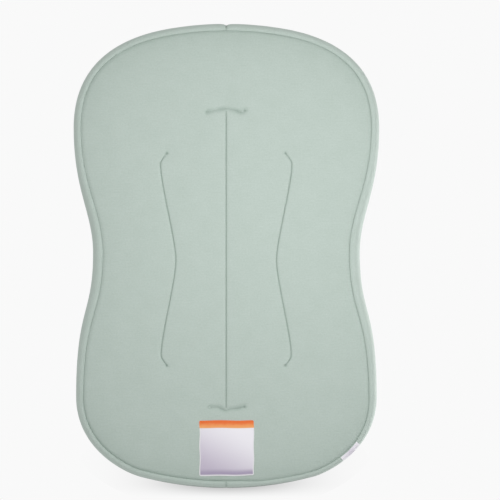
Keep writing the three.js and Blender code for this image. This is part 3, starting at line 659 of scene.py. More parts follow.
def softened(field, times=1):
    """A grid of numbers with each one a little evened out with its neighbours."""
    for _ in range(times):
        for turned in (True, False):
            grid = field.T if turned else field
            edge = np.pad(grid, ((0, 0), (1, 1)), mode="edge")
            grid = 0.5 * grid + 0.25 * (edge[:, :-2] + edge[:, 2:])
            field = grid.T if turned else grid
    return field


def spread(field, runs, shares, to_runs, to_shares):
    """A grid of numbers read off at other runs and shares."""
    along = np.stack([np.interp(to_runs[:, 0], runs[:, 0], column) for column in field.T], 1)
    return np.stack([np.interp(to_shares, shares, row) for row in along])


def swelling(name, base, out, jitter, pressure, slack, gain, evened, limits):
    """How far pressure moves a smooth form outwards on each side, apart from its overall growth."""
    swells = {}
    for side in HALVES.values():
        start = (base + out * jitter(side)[..., None]) * [side, 1, 1]
        moved = pressed(name, start, out * [side, 1, 1], pressure, slack) * [side, 1, 1]
        swell = gain * ((moved - base) * out).sum(axis=2)
        swell = swell - softened(swell, evened)
        swells[side] = softened(np.clip(swell, limits[0] * MM, limits[1] * MM))
        shown = np.round(np.percentile(swell, [0, 5, 50, 95, 100]) / MM, 2)
        print(name, side, "moves", shown, "mm")
    return swells


sheet_stations = stations_at(6.5 * MM)
print("cloth sheets have", len(sheet_stations.run), "stations")

# %% Pressed ring top
TOP_PARTS = np.linspace(0, 1, 9)
TOP_SHARES = np.linspace(0, 1, 16)[1:]


def smooth_top(at):
    """The smooth form of the ring's top at the stations, with the ways out of it."""
    low = at.seam_angle + at.open / at.speed
    outer = outer_slope(at, low + (math.pi / 2 - low) * TOP_PARTS)
    place, out = (np.concatenate(pair, 1) for pair in zip(outer, inner_slope(at, TOP_SHARES)))
    base = in_space(at, place)
    return base, unit(in_space(at, place + out * MM) - base)


def top_jitter(side):
    across = np.sin(np.linspace(0, math.pi, len(TOP_PARTS) + len(TOP_SHARES)))
    return 0.25 * MM * ripple(sheet_stations.run, 70 + side) * across


top_swell = swelling(
    "sheet_top", *smooth_top(sheet_stations), top_jitter,
    pressure=4.0, slack=0.03, gain=1.25, evened=30, limits=(-1.6, 2.2),
)

# %% [markdown]
# The top of the ring rises from that seam over the crest and falls to the seat. At the tight ends
# of the seat the cloth has more length than it needs, so it gathers there in short folds that run
# up from the seam.

# %% Top of the ring
INNER_SLOPE = 95 * MM
CALM_END = 152 * MM


def top_rings(at, side):
    low = at.seam_angle + at.open / at.speed
    part = np.linspace(0, 1, 21) ** 1.45
    share = 1 - (1 - np.linspace(0, 1, 29)[1:]) ** 1.25
    angle = low + (math.pi / 2 - low) * part
    away = (angle - low) * at.speed
    swell = spread(
        top_swell[side], sheet_stations.run, np.concatenate([TOP_PARTS, 1 + TOP_SHARES]),
        at.run, np.concatenate([part, 1 + share]),
    )
    wave = ripple(at.run, 21 + side) * 0.35 * MM * near(away, 16 * MM) * (1 - near(away, 3 * MM))
    still = near(away, 16 * MM, 4) * smooth((CALM_END - at.run) / (12 * MM))
    draw = drawn(at, away) - swell[:, : len(part)] * (1 - 0.95 * still)
    outer = under(outer_slope(at, angle), draw + wave * (0.2 + 0.8 * at.shut))
    seam_away = (1 - share) * INNER_SLOPE
    folds = np.clip(0.5 + 0.5 * ripple(at.run, 33 + side, (23, 13, 8.2, 5.7)), 0, 1.3) ** 1.6
    gather = folds * near(seam_away, 19 * MM) * (1 - near(seam_away, 3.5 * MM))
    tight = smooth((np.abs(at.edge[:, 1:]) - 90 * MM) / (110 * MM))
    gather = gather * (0.2 + 0.8 * tight) * 2.4 * MM
    draw = at.cross + 1.2 * MM * near(seam_away, 2 * MM) - gather - swell[:, len(part) :]
    inner = under(inner_slope(at, share), draw)
    foot = spots(at.width - COVER, SEAT_SEAM_Z + SEAT_GAP)
    sunk = COVER + at.cross
    back = under(inner_slope(at, [0.75, 0.45, 0.1]), sunk)
    crest = under(outer_slope(at, math.pi / 2 * 0.75 + 0 * low), sunk)
    hem = under(outer_slope(at, low + 8 * MM / at.speed * [1, 0]), at.hem + at.cross)
    place = np.concatenate([outer, inner, foot, back, crest, hem], 1)
    # Painted shade along the seat's seam and beside the seam on the outer slope.
    seam_shade = near(seam_away, 1.4 * MM) + 0 * at.run
    return in_space(at, place), painted_shading(at, place, near(away, MM) * at.shut, seam_shade)


for label in HALVES:
    half(label, "ring_top", "cover_top", top_rings, fine, sage_knit, "knit", 0.8)


# %% [markdown]
# Each half of the seat is a padded panel, sewn down all round and along the middle. The padding
# makes it swell between the seams. It lies low inside the ring, so it is the softest and flattest
# of the forms.

# %% Seat
SEAT_SHARES = np.linspace(0, 1, 13)
MIDDLE_GAP = 0.12 * MM


def on_seat(at, share, height=0.0):
    """Points of a seat panel at shares of the way in from its seam."""
    middle = at.seat * [0, 0.66]
    plan = at.seat[:, None] + (middle - at.seat)[:, None] * np.asarray(share)[None, :, None]
    plan[..., 0] = np.maximum(plan[..., 0], MIDDLE_GAP)
    return np.concatenate([plan, np.broadcast_to(height, plan.shape[:2])[..., None]], -1)


def crowned(plan, swell, edge=0.26, rise=0.74, power=0.7):
    """A panel's swell, held down beside the middle seam."""
    return np.minimum(swell, edge + rise * smooth(plan[..., 0] / (14 * MM)) ** power)


def seat_jitter(side):
    return 0.2 * MM * np.sin(base[..., 1] / (17 * MM) + side) * np.sin(base[..., 0] / (9 * MM))


base = on_seat(sheet_stations, SEAT_SHARES)
full = np.sin(np.minimum(SEAT_SHARES / 0.5, 1) * math.pi / 2)
base[..., 2] = SEAT_SEAM_Z + SEAT_CROWN * crowned(base, full, power=1)
up = np.broadcast_to([0.0, 0, 1], base.shape)
seat_swell = swelling(
    "sheet_seat", base, up, seat_jitter,
    pressure=2.5, slack=0.02, gain=1.0, evened=20, limits=(-1.2, 1.6),
)


def seat_rings(at, side):
    share = np.concatenate([
        [0, 0.008, 0.02, 0.04, 0.07], np.linspace(0.11, 0.9, 17), [0.93, 0.96, 0.98, 0.992, 1]
    ])
    rising = 1 - (1 - np.minimum(share / 0.5, 1)) ** 2.6
    falling = 1 - 0.74 * np.clip((share - 0.5) / 0.5, 0, 1) ** 3
    plan = on_seat(at, share)
    swell = crowned(plan, np.where(share < 0.5, rising, falling))
    x, y = plan[..., 0], plan[..., 1]
    soft = 0.35 * MM * np.sin(y / (29 * MM) + side) * np.sin(x / (17 * MM) + 0.7)
    gather = ripple(at.run, 51 + side, (27, 15, 9)) * 0.5 * MM
    gather = gather * near(share, 0.16) * (1 - near(share, 0.04))
    pushed = spread(seat_swell[side], sheet_stations.run, SEAT_SHARES, at.run, share)
    outer = on_seat(
        at, share, SEAT_SEAM_Z - SEAT_GAP + SEAT_CROWN * swell + (soft + gather + pushed) * swell
    )
    edge = in_space(at, spots(at.width - COVER, SEAT_SEAM_Z - SEAT_GAP))
    inner = on_seat(at, [1, 0.7, 0.34, 0])
    crown = crowned(inner, [0.26, 0.9, 0.8, 0])
    inner[..., 2] = SEAT_SEAM_Z - COVER - SEAT_GAP + SEAT_CROWN * crown
    rings = np.concatenate([edge, outer, inner, edge - [0, 0, COVER]], 1)
    # Painted shade: full on the hidden faces, and along the sewn edge and the middle seam.
    painted_shade = np.ones(rings.shape[:2])
    reach = np.linalg.norm(plan - plan[:, :1], axis=2)
    sewn_edge_shade = np.maximum(near(reach, 1.4 * MM), near(x - MIDDLE_GAP, 1.2 * MM))
    painted_shade[:, 1 : 1 + len(share)] = sewn_edge_shade
    return rings, painted_shade


for label in HALVES:
    half(label, "seat_panel", "cover_seat", seat_rings, fine, sage_knit, "knit", 0.5)


# %% [markdown]
# The base panel is the face that the picture shows. It lies flat, rolls up to its seam and is
# quilted by three sewn lines: a straight one down the middle between two short cross bars, and a
# waisted one on each side that ends in a small hook. Regular rows of faces would cut across those
# lines, so their points come first, in close rows beside each line, and a Delaunay triangulation
# fills the rest.

# %% Sewn lines of the base panel
REACH = np.array([0, -28 * MM])


def side_stitch(side):
    """The waisted line on one side, from its hook near the head to its hook near the foot."""
    head, high, waist, low, foot = (
        np.array([side * x, y]) * MM
        for x, y in ((83.4, 144.5), (92.5, 129), (70.8, -6), (91.5, -139.5), (83.4, -154.4))
    )
    return joined(
        bezier(head, [side * 5 * MM, -6.6 * MM], high, [0, -4.5 * MM], 60),
        bezier(high, REACH, waist, REACH, 200),
        bezier(waist, REACH, low, REACH, 200),
        bezier(low, [0, -4.5 * MM], foot, [side * -5 * MM, -6.6 * MM], 60),
    )


def through(*points):
    """A smooth line through a few points, in mm, with eight steps between them."""
    points = np.array(points, float) * MM
    ends = np.concatenate([[2 * points[0] - points[1]], points, [2 * points[-1] - points[-2]]])
    t = np.linspace(0, 1, 8, endpoint=False)[:, None]
    parts = []
    for a, b, c, d in zip(ends, ends[1:], ends[2:], ends[3:]):
        bend, turn = 2 * a - 5 * b + 4 * c - d, -a + 3 * b - 3 * c + d
        parts.append(b + 0.5 * ((c - a) * t + bend * t**2 + turn * t**3))
    return np.concatenate(parts + [points[-1:]])


sewn = {
    "middle": np.array([[0, -213.6], [0, 203.4]]) * MM,
    "side_right": side_stitch(1),
    "side_left": side_stitch(-1),
    "bar_head": through(
        (26.7, 202.6), (17.2, 204.2), (9, 206), (1, 206.9),
        (-7, 206.2), (-15, 204), (-21.8, 201.9), (-26.6, 204.8),
    ),
    "bar_foot": through(
        (20.8, -212.8), (10.5, -213.2), (4.6, -216.2), (-0.5, -217.2),
        (-6.6, -215.4), (-16.3, -214.4), (-25.5, -212.3),
    ),
}
hook_ends = np.array([[83.4, 144.5], [-83.4, 144.5], [83.4, -154.4], [-83.4, -154.4]]) * MM
line_ends = np.concatenate([hook_ends, sewn["bar_head"][[0, -1]], sewn["bar_foot"][[0, -1]]])
print({k: round(float(run_of(v)[-1]), 3) for k, v in sewn.items()})


def distance_to(points, line):
    """Distance of each point to a line of points."""
    best = np.full(len(points), 1e9)
    for a, b in zip(line[:-1], line[1:]):
        span = b - a
        share = np.clip(((points - a) @ span) / max(span @ span, 1e-18), 0, 1)
        best = np.minimum(best, np.linalg.norm(points - a - share[:, None] * span, axis=1))
    return best


# %% Height of the base panel
LABEL = {"x": 39 * MM, "top": -231.25 * MM, "foot": -309.75 * MM}
LABEL_MIDDLE = (LABEL["top"] + LABEL["foot"]) / 2
# Painted shade and painted highlights at the puckered ends of the sewn lines: x, y, reach in mm,
# and how dark each is, light below 0.
SHADE_SPOTS = (
    (83.4, 144.5, 1.7, 0.9),
    (-83.4, 144.5, 1.5, 0.6),
    (83.4, -154.4, 1.6, 0.7),
    (-83.4, -154.4, 1.5, 0.6),
    (-26.4, 204.4, 1.2, 0.75),
    (-23.4, 203.4, 1.1, -0.5),
    (-0.7, 203.6, 2.0, -0.25),
    (-25.6, -212.2, 1.3, 0.75),
    (23.1, -212.7, 1.3, -0.4),
    (-0.5, -215.0, 1.4, -0.2),
)
# Centre of a painted ring of shade by the right end of the foot bar.
SHADE_RING_CENTRE = np.array([23.1, -212.7]) * MM


def panel_bow(seam_away):
    """How far the panel bows up on its way to the seam."""
    beside_seam = 0.9 * MM * (1 - smooth(seam_away / (22 * MM)))
    return beside_seam + 1.7 * MM * (1 - smooth(seam_away / (62 * MM)))


def panel_back(seam_away):
    """Height of the panel's inner face."""
    roll = 5.2 * MM * near(seam_away, 3.2 * MM, 1.1)
    return np.minimum(roll + panel_bow(seam_away), 5.4 * MM) + COVER + 0.25 * MM


def panel_height(points, seam_away):
    """Height of the panel's outer face over the floor, and its painted shade, at places in plan."""
    x, y = points.T
    height = 2.4 * MM * near(seam_away, 2.2 * MM, 1.2) + panel_bow(seam_away)
    # Painted shade in the seam's groove, deeper at the foot, and a broad faint band of it beside
    # the seam, strongest at the head and foot ends.
    ends = smooth((np.abs(y) - 150 * MM) / (120 * MM))
    foot = smooth(-(y + 150 * MM) / (120 * MM)) * (1 + 0.6 * np.tanh(x / (60 * MM)))
    painted_shade = near(seam_away, 1.1 * MM) * (0.3 + 0.24 * foot)
    painted_shade = painted_shade + near(seam_away, 24 * MM, 1.5) * (0.03 + 0.13 * ends)
    for name, line in sewn.items():
        away = distance_to(points, resampled(line, 2.5 * MM))
        bar = name.startswith("bar")
        height += 1.25 * MM * near(away, (2.47 if bar else 0.95) * MM, 1.6)
        height += 0.6 * MM * near(away, 7.5 * MM, 1.2)
        # Painted shade along each sewn line, and a broad soft band of it along the cross bars.
        line_shade = near(away, 0.75 * MM, 1.5) * 0.8
        if bar:
            line_shade = near(away, 3.5 * MM, 2.2) * (0.35 + 0.1 * np.sin(x / (3.7 * MM)))
        painted_shade = np.maximum(painted_shade, line_shade)
    for end in line_ends:
        away = np.linalg.norm(points - end, axis=1)
        height += 1.2 * MM * near(away, 2.2 * MM, 2) + 0.5 * MM * near(away, 8 * MM)
    # Painted shade, or painted highlight where the value is below 0, at each of these spots.
    for mark_x, mark_y, reach, amount in SHADE_SPOTS:
        away = np.hypot(x - mark_x * MM, y - mark_y * MM)
        painted_shade = np.clip(painted_shade + amount * near(away, reach * MM, 2), 0, 1)
    # A painted ring of shade round that centre.
    away = np.linalg.norm(points - SHADE_RING_CENTRE, axis=1) - 2.2 * MM
    painted_shade = np.maximum(painted_shade, 0.38 * near(away, 0.9 * MM, 2))
    height += 0.25 * MM * (1 + np.sin(x / (23 * MM) + 1.3) * np.sin(y / (37 * MM) + 0.4))
    across = np.maximum(np.abs(x) - LABEL["x"] - 0.3 * MM, 0)
    along = np.maximum(np.abs(y - LABEL_MIDDLE) - 39.5 * MM, 0)
    height = np.maximum(height, 0.85 * MM * near(np.hypot(across, along), 1.4 * MM, 2))
    return np.minimum(height, np.minimum(SEAM_LOW_Z, panel_back(seam_away) - 0.35 * MM)), painted_shade


print("knots and puckers:", len(SHADE_SPOTS))

# %% Points of the base panel
SEAM_STEPS = np.array([0, 0.45, 1.0, 1.7, 2.6, 3.8, 5.4, 7.5, 10.5, 14.5, 19.5, 26]) * MM
LINE_STEPS = np.array([0, 0.45, 0.95, 1.6, 2.6, 4.2, 6.8]) * MM
GRID = (5.2, 6.0)


def mirrored(right, left=None):
    """A closed loop from two half lines, which both start in the middle of the foot end."""
    left = right if left is None else left
    return np.concatenate([right, (left[1:-1] * [-1, 1])[::-1]])


def seam_loop(at, away):
    lines = (at.edge + at.inward * (each.seam + SEAM_GAP + away) for each in (at, leaned(at)))
    return mirrored(*lines)


def circle(centre, radius, count, turn=0.0):
    angle = np.linspace(0, 2 * math.pi, count, endpoint=False) + turn
    return centre + radius * MM * np.stack([np.cos(angle), np.sin(angle)], 1)


loops = [seam_loop(fine, away) for away in SEAM_STEPS]
around, inner_loop = len(loops[0]), loops[-1]
rows = []
for name, line in sewn.items():
    line = resampled(line, 2.4 * MM)
    way = ways(line, run_of(line))
    normal = np.stack([-way[:, 1], way[:, 0]], 1)
    offsets = LINE_STEPS * (1.3 if name.startswith("bar") else 1)
    rows += [line + normal * offset for offset in np.concatenate([-offsets[:0:-1], offsets])]
    for end, way_out in ((line[0], -way[0]), (line[-1], way[-1])):
        rows += [(end + way_out * reach)[None] for reach in offsets[1:]]
rows += [circle(end, radius, 12, radius) for end in line_ends for radius in (1.0, 2.1, 3.6, 5.6)]
rows += [circle(SHADE_RING_CENTRE, radius, 16) for radius in (0.9, 1.5, 2.2, 2.9, 3.7)]
grid_y, grid_x = np.mgrid[-300 : 306 : GRID[0], -200 : 204 : GRID[1]]
grid = np.stack([grid_x.ravel(), grid_y.ravel()], 1) * MM
grid[:, 0] += np.where(np.round(grid[:, 1] / (GRID[0] * MM)) % 2, GRID[1] / 2 * MM, 0)
rows.append(grid)
print(len(loops), "loops beside the seam and", len(rows), "rows of points inside them")

# %% Triangles of the base panel
CELL, LEAST_GAP = 2 * MM, 0.38 * MM


def inside(points, polygon):
    """Which points lie inside a closed ring of points."""
    hit = np.zeros(len(points), bool)
    for a, b in zip(polygon, np.roll(polygon, -1, axis=0)):
        crosses = (a[1] > points[:, 1]) != (b[1] > points[:, 1])
        at_x = a[0] + (points[:, 1] - a[1]) * (b[0] - a[0]) / (b[1] - a[1] + 1e-18)
        hit ^= crosses & (points[:, 0] < at_x)
    return hit


extra = np.concatenate(rows)
extra = extra[inside(extra, inner_loop)]
kept, cells = [], {}
for point in map(tuple, np.concatenate([inner_loop, extra])):
    cell = (int(point[0] // CELL), int(point[1] // CELL))
    around_it = [(cell[0] + i, cell[1] + j) for i in (-1, 0, 1) for j in (-1, 0, 1)]
    close = any(math.dist(point, q) < LEAST_GAP for key in around_it for q in cells.get(key, []))
    if len(kept) < around or not close:
        cells.setdefault(cell, []).append(point)
        kept.append(point)
flat_points, _, flat_faces, origins, _, _ = delaunay_2d_cdt(
    [Vector(p) for p in kept], [], [list(range(around))], 1, 1e-7, True
)
flat_points = np.array([tuple(p) for p in flat_points])
centres = np.array([flat_points[list(face)].mean(axis=0) for face in flat_faces])
flat_faces = [face for face, keep in zip(flat_faces, inside(centres, inner_loop)) if keep]
print("base panel interior:", len(flat_points), "points,", len(flat_faces), "triangles")

# %% Base panel
first = (len(loops) - 1) * around
plan = np.concatenate(loops[:-1] + [flat_points])
total = len(plan)
seam_ring = seam_loop(coarse, 0.0)
seam_ring = np.concatenate([seam_ring, seam_ring[:1]])
seam_away = np.repeat(SEAM_STEPS[:-1], around)
seam_away = np.concatenate([seam_away, distance_to(flat_points, seam_ring)])
low, low_shade = panel_height(plan, seam_away)
points = np.column_stack([np.tile(plan, (2, 1)), np.concatenate([low, panel_back(seam_away)])])
inner_index = {number: first + k for k, origin in enumerate(origins) for number in origin}
inner_row = [inner_index[k] for k in range(around)]
loop_faces = bands(np.concatenate([np.arange(first).reshape(-1, around), [inner_row]]))
flat_part = [[first + i for i in face] for face in flat_faces]


def spin(face):
    a, b, c = plan[face[:3]]
    return np.cross(b - a, c - a)


if spin(loop_faces[0]) * spin(flat_part[-1]) < 0:
    flat_part = [face[::-1] for face in flat_part]
bottom = loop_faces + flat_part
upper = [[total + i for i in face[::-1]] for face in bottom]
wall = [(k, total + k, total + (k + 1) % around, (k + 1) % around) for k in range(around)]
# Painted shade of each point; the hidden upper face gets a middle value.
painted_shade = np.concatenate([low_shade, np.ones(total) * 0.5])
base_panel = mesh_object("base_panel", points, bottom + upper + wall, points[:, :2], painted_shade)
hand_over(base_panel, sage_knit, "knit", ["cover_base_panel"], 0.4)

# %% [markdown]
# The thread that quilts the panel lies in the bottom of each crease. One stitch is a short
# rounded bead, and the line is hundreds of copies of it, each turned along the line.

# %% Stitches
STITCH = 2.5 * MM
THREAD = 0.32 * MM


def mode(name):
    bpy.ops.object.mode_set(mode=name)


def started(maker, **sizes):
    """Adds a primitive and selects all of it, in edit mode."""
    bpy.ops.object.select_all(action="DESELECT")
    maker(**sizes)
    mode("EDIT")
    bpy.ops.mesh.select_all(action="SELECT")


def resize(*value):
    bpy.ops.transform.resize(value=value, center_override=(0, 0, 0))


def move(*value):
    bpy.ops.transform.translate(value=value)


def taken(thing):
    """The points and faces of a shape that is only a pattern for copies."""
    points = np.array([v.co for v in thing.data.vertices])
    faces = [tuple(p.vertices) for p in thing.data.polygons]
    bpy.data.objects.remove(thing)
    return points, faces


def copies(name, points, faces, places):
    """One mesh of copies of a shape, at places that each have a spot and three axes."""
    all_points = np.concatenate([spot + points @ axes for spot, axes in places])
    numbers = range(0, len(all_points), len(points))
    all_faces = [tuple(start + i for i in face) for start in numbers for face in faces]
    return mesh_object(name, all_points, all_faces, all_points[:, :2])


started(bpy.ops.mesh.primitive_uv_sphere_add, segments=8, ring_count=5, radius=1.0)
bpy.ops.transform.rotate(value=math.pi / 2, orient_axis="Y", center_override=(0, 0, 0))
resize(STITCH * 0.42, THREAD, THREAD * 0.8)
mode("OBJECT")
bead = taken(bpy.context.object)


def stitch_rows(name, rows):
    """One object of beads along rows of spots, each row with the ways out of the cloth."""
    places = []
    for spots, outs in rows:
        ahead = unit(np.gradient(spots, axis=0))
        beside = unit(np.cross(outs, ahead))
        places += [(spot, np.array(axes)) for spot, *axes in zip(spots, ahead, beside, outs)]
    print(name, len(places), "stitches")
    hand_over(copies(name, *bead, places), thread, "knit")


base_rows = []
for line in sewn.values():
    spots_on = resampled(line, STITCH)
    height, _ = panel_height(spots_on, np.full(len(spots_on), 0.1))
    outs = np.tile([0.0, 0.0, -1.0], (len(spots_on), 1))
    base_rows.append((np.column_stack([spots_on, height - 0.12 * MM]), outs))
stitch_rows("base_stitches", base_rows)

# %% [markdown]
# Inside the cover are the stuffed ring, the stuffed seat and the flat pad. Nobody sees them until
# the zip is open, so they are plain crowned forms a little under the cover.

# %% Insert
def stuffed_ring(at, side):
    deep, half_turn = FILL_DEPTH + at.cross, math.pi / 2
    low = under(low_rim(at, [0.46, 0.3, 0.15]), deep)
    beside = np.array([-13.2, -5.2, 5.2, 13.2]) * MM / at.speed + at.seam_angle
    sunk = np.array([0.0, 2.2, 2.2, 0.0]) * MM * at.opened + deep
    above = beside[:, -1:] + (half_turn - beside[:, -1:]) * [0.4, 0.75]
    wall = at.width - FILL_DEPTH
    place = np.concatenate([
        spots(UNDERSIDE * at.seam, FILL_BOTTOM), low,
        under(outer_slope(at, 0 * beside[:, :1]), deep),
        under(outer_slope(at, beside), sunk),
        under(outer_slope(at, above), deep),
        under(inner_slope(at, np.linspace(0, 0.94, 7)), deep),
        spots(wall, SEAT_SEAM_Z), spots(wall, FILL_BOTTOM),
    ], 1)
    return in_space(at, place), None


def stuffed_seat(at, side):
    top = on_seat(at, [0, 0.12, 0.34, 0.6, 0.8, 1])
    crown = crowned(top, [0, 0.35, 0.72, 0.86, 0.7, 0.24], 0.24, 0.7)
    top[..., 2] = SEAT_SEAM_Z - FILL_DEPTH - 0.2 * MM + SEAT_CROWN * crown
    low = top[:, -1:] * [1, 1, 0] + [0, 0, FILL_BOTTOM]
    wall = in_space(at, spots(at.width - COVER, 0.0))
    rings = [wall + [0, 0, FILL_BOTTOM], wall + [0, 0, top[0, 0, 2]], top, low]
    return np.concatenate(rings, 1), None


stuffed = ("insert_bolster", stuffed_ring), ("insert_seat", stuffed_seat)
for label in HALVES:
    for cad, maker in stuffed:
        half(label, maker.__name__, cad, maker, coarse, stuffing_cloth, "stuffing", 0.7)

# %% Flat pad
PAD_UNDER = [(64, 0.0), (45, 0.0), (28, 0.0), (14, 0.0), (4.5, 0.0)]
PAD_SIDE = [(-1.0, 2.4), (-4.6, 4.8), (-7.0, 7.2), (-8.5, 9.6)]
pad_loops = []
for away, rise in PAD_UNDER + PAD_SIDE:
    loop = mirrored(coarse.edge + coarse.inward * np.maximum(coarse.seam + away * MM, 5 * MM))
    bow = panel_back(np.full(len(loop), max(away, 4.5) * MM))
    level = np.minimum(bow + 0.4 * MM + rise * MM, 12.7 * MM)
    pad_loops.append(np.column_stack([loop, level]))
pad_loops = np.array(pad_loops)
base_pad = tube("base_pad", pad_loops, pad_loops.reshape(-1, 3)[:, :2])
hand_over(base_pad, stuffing_cloth, "stuffing", ["insert_base_pad"], 0.5)

# %% [markdown]
# The care label is a thin white patch with a plain coloured band across its head. It carries no
# words. It is sewn flat into the panel, but a patch of this size never lies quite still: it waves
# a little and one corner of its foot lifts. A patch is a grid with rounded corners, and its edges
# sink a little where they are sewn.

# %% Label cloth
satin, given, shown = new_group(
    "Label satin",
    {"Place": None, "Head": (0.9, 0.3, 0.1, 1), "Band": 0.0},
    {"Color": "Color", "Height": "Float"},
)
place = node(satin, "SeparateXYZ", _0=given["Place"]).outputs
# The ground runs from white at the upper right to lavender grey at the left and lilac at the foot:
# partly painted shade, partly the grey of print that the label leaves out.
slant = math_node(satin, "MULTIPLY_ADD", place["X"], 0.55, place["Y"])
fade = mapped(satin, slant, 0.02, 1.25, 0.0, 1.0)
ground = mix_colour(satin, fade, rgb(198, 188, 207), rgb(247, 245, 251))
foot = mapped(satin, place["Y"], 0.04, 0.15, 1.0, 0.0)
ground = mix_colour(satin, foot, ground, rgb(172, 160, 186))
band_low, band_high = (math_node(satin, "SUBTRACT", top, given["Band"]) for top in (0.995, 1.005))
band = mapped(satin, place["Y"], band_low, band_high, 0.0, 1.0, "LINEAR")
worn = node(satin, "TexNoise", Vector=given["Place"], Scale=9.0).outputs[0]
worn = math_node(satin, "MULTIPLY_ADD", worn, -0.05, place["Y"])
faded = mapped(satin, worn, 0.86, 0.95, 0.7, 0.0)
head = mix_colour(satin, faded, given["Head"], rgb(252, 184, 112))
printed = mix_colour(satin, band, ground, head)
side_in = math_node(satin, "ABSOLUTE", math_node(satin, "SUBTRACT", place["X"], 0.5))
margin_x = mapped(satin, side_in, 0.478, 0.487, 0.0, 1.0, "LINEAR")
margin_y = mapped(satin, place["Y"], 0.012, 0.034, 1.0, 0.0, "LINEAR")
margin = math_node(satin, "MAXIMUM", margin_x, margin_y)
margin = math_node(satin, "MULTIPLY", margin, math_node(satin, "SUBTRACT", 1.0, band))
printed = mix_colour(satin, margin, printed, rgb(238, 236, 240))
bands_y = {"wave_type": "BANDS", "bands_direction": "Y"}
threads = node(satin, "TexWave", bands_y, Vector=given["Place"], Scale=60.0, Distortion=0.4)
satin.links.new(printed, shown["Color"])
satin.links.new(threads.outputs[1], shown["Height"])

ORANGE = rgb(240, 112, 44)
label_satin, tag_satin = (
    cloth_material(
        name, satin, {"Head": ORANGE, "Band": band}, bump=0.12, depth=0.0002, painted_shade=False,
        finish={"Roughness": 0.62, "Sheen Weight": 0.1},
    )
    for name, band in (("Label satin", 0.135), ("Tag satin", -0.2))
)
print("label cloths made")

# %% Care label
LABEL_HALF = np.array([38.3, 39.1]) * MM
LABEL_STEPS = 44
LABEL_THICK = 0.42 * MM


def rounded_square(u, v, size, corner):
    """Points of the square -1 to 1, brought to half its size with its corners rounded."""
    point = np.stack([u * size[0], v * size[1]], -1)
    inner = size - corner
    over = np.maximum(np.abs(point) - inner, 0)
    away = np.linalg.norm(over, axis=-1, keepdims=True)
    edge = np.maximum(np.abs(u), np.abs(v))[..., None]
    pull = np.where(away > corner * edge, corner * edge / np.maximum(away, 1e-12), 1.0)
    return np.sign(point) * (np.minimum(np.abs(point), inner) + over * pull)


v, u = np.meshgrid(*[np.linspace(-1, 1, LABEL_STEPS)] * 2)
flat_label = rounded_square(u, v, LABEL_HALF, 2 * MM).reshape(-1, 2)
u, v = u.ravel(), v.ravel()
corner_lift = smooth((-u - v - 1.1) / 0.9)
flat_label[:, 0] += 0.35 * MM * np.sin(v * 7 + 1) * np.abs(u) - 0.8 * MM
flat_label[:, 1] += 0.3 * MM * np.sin(u * 5 + 0.4) * np.abs(v) + 0.9 * MM * corner_lift
flat_label[:, 1] += LABEL_MIDDLE
panel_over, _ = panel_height(flat_label, distance_to(flat_label, seam_ring))
lift = 0.28 * MM + 0.16 * MM * np.sin(u * 4.1 + 0.6) * np.sin(v * 3.3 + 1.2)
lift += 0.18 * MM * smooth((np.maximum(np.abs(u), np.abs(v)) - 0.93) / 0.07)
lift += 0.95 * np.maximum(panel_over - 0.86 * MM, 0) - 0.75 * MM * corner_lift
label_uv = np.stack([(1 - u) / 2, (v + 1) / 2], 1)
count = LABEL_STEPS**2
under_faces = grid_faces(LABEL_STEPS, LABEL_STEPS)
number = np.arange(count).reshape(LABEL_STEPS, LABEL_STEPS)
rim = [*number[0], *number[1:, -1], *number[-1, -2::-1], *number[-2:0:-1, 0]]
rim_faces = [(a, b, count + b, count + a) for a, b in zip(rim, rim[1:] + rim[:1])]
label = mesh_object(
    "label_patch",
    np.column_stack([np.tile(flat_label, (2, 1)), np.concatenate([lift, lift + LABEL_THICK])]),
    [*under_faces, *(count + under_faces[:, ::-1]), *rim_faces],
    np.tile(label_uv, (2, 1)),
)
hand_over(label, label_satin, "satin", ["care_label"])

# %% [markdown]
# The side tag is a short loop of white ribbon caught in the base seam. It is folded once, so its
# free end is a soft bend that lies on the rim.

# %% Side tag
TAG_AT = 191 * MM
TAG_HALF = 17 * MM


def rows_at(at, runs):
    """The stations' values at any runs along the outline."""
    run = at.run[:, 0]
    return Stations(**{
        key: np.stack([np.interp(runs, run, column) for column in value.T], 1)
        for key, value in vars(at).items()
    })


along = np.linspace(-1, 1, 29)
tag_at = rows_at(leaned(fine), TAG_AT + TAG_HALF * along)
bow = (0.25 * MM * (1 - along**2) + 0.12 * MM * np.sin(along * 5 + 1))[:, None]


def tag_layer(depth, shares):
    """Spots of the ribbon at a depth over the rim, at shares of the way in to the seam."""
    return under(low_rim(tag_at, shares), -(depth * MM + bow * (1 - np.asarray(shares)) * 3))


def tag_end(depth):
    return spots(tag_at.seam - 0.3 * MM, RIM_LOW_Z + 1.6 * MM - depth * MM)


out = np.array([1.0, 0.94, 0.88, 0.81, 0.74, 0.66])
tag_path = np.concatenate([
    tag_end(0.0), tag_layer(0.2, out), tag_layer(0.32, [0.62]), tag_layer(0.6, [0.605]),
    tag_layer(0.88, [0.62]), tag_layer(1.0, out[::-1]), tag_end(0.55),
], 1)
tag_inside = [
    tag_end(0.4), tag_layer(0.72, out), tag_layer(0.6, [0.64]), tag_layer(0.48, out[::-1]),
    tag_end(0.15),
]
tag_rings = in_space(tag_at, np.concatenate([tag_path, *tag_inside], 1))
tag = skin("side_tag_ribbon", tag_at.run, tag_rings, -1)
for corner in tag.data.uv_layers[0].data:
    from_middle = abs(corner.uv[0] + TAG_AT) / TAG_HALF
    corner.uv = (0.05 + 0.9 * from_middle, 0.5 + corner.uv[1] * 4)
hand_over(tag, tag_satin, "satin", ["side_tag"])

# %% [markdown]
# The zip lies in the foot end, in the gap between the rim band and the top of the ring. A spot on
# it is given by three numbers: the run along the chain, the way up the cover and the way out from
# it. The cover curves a little over the width of the tapes, so they follow its slope.

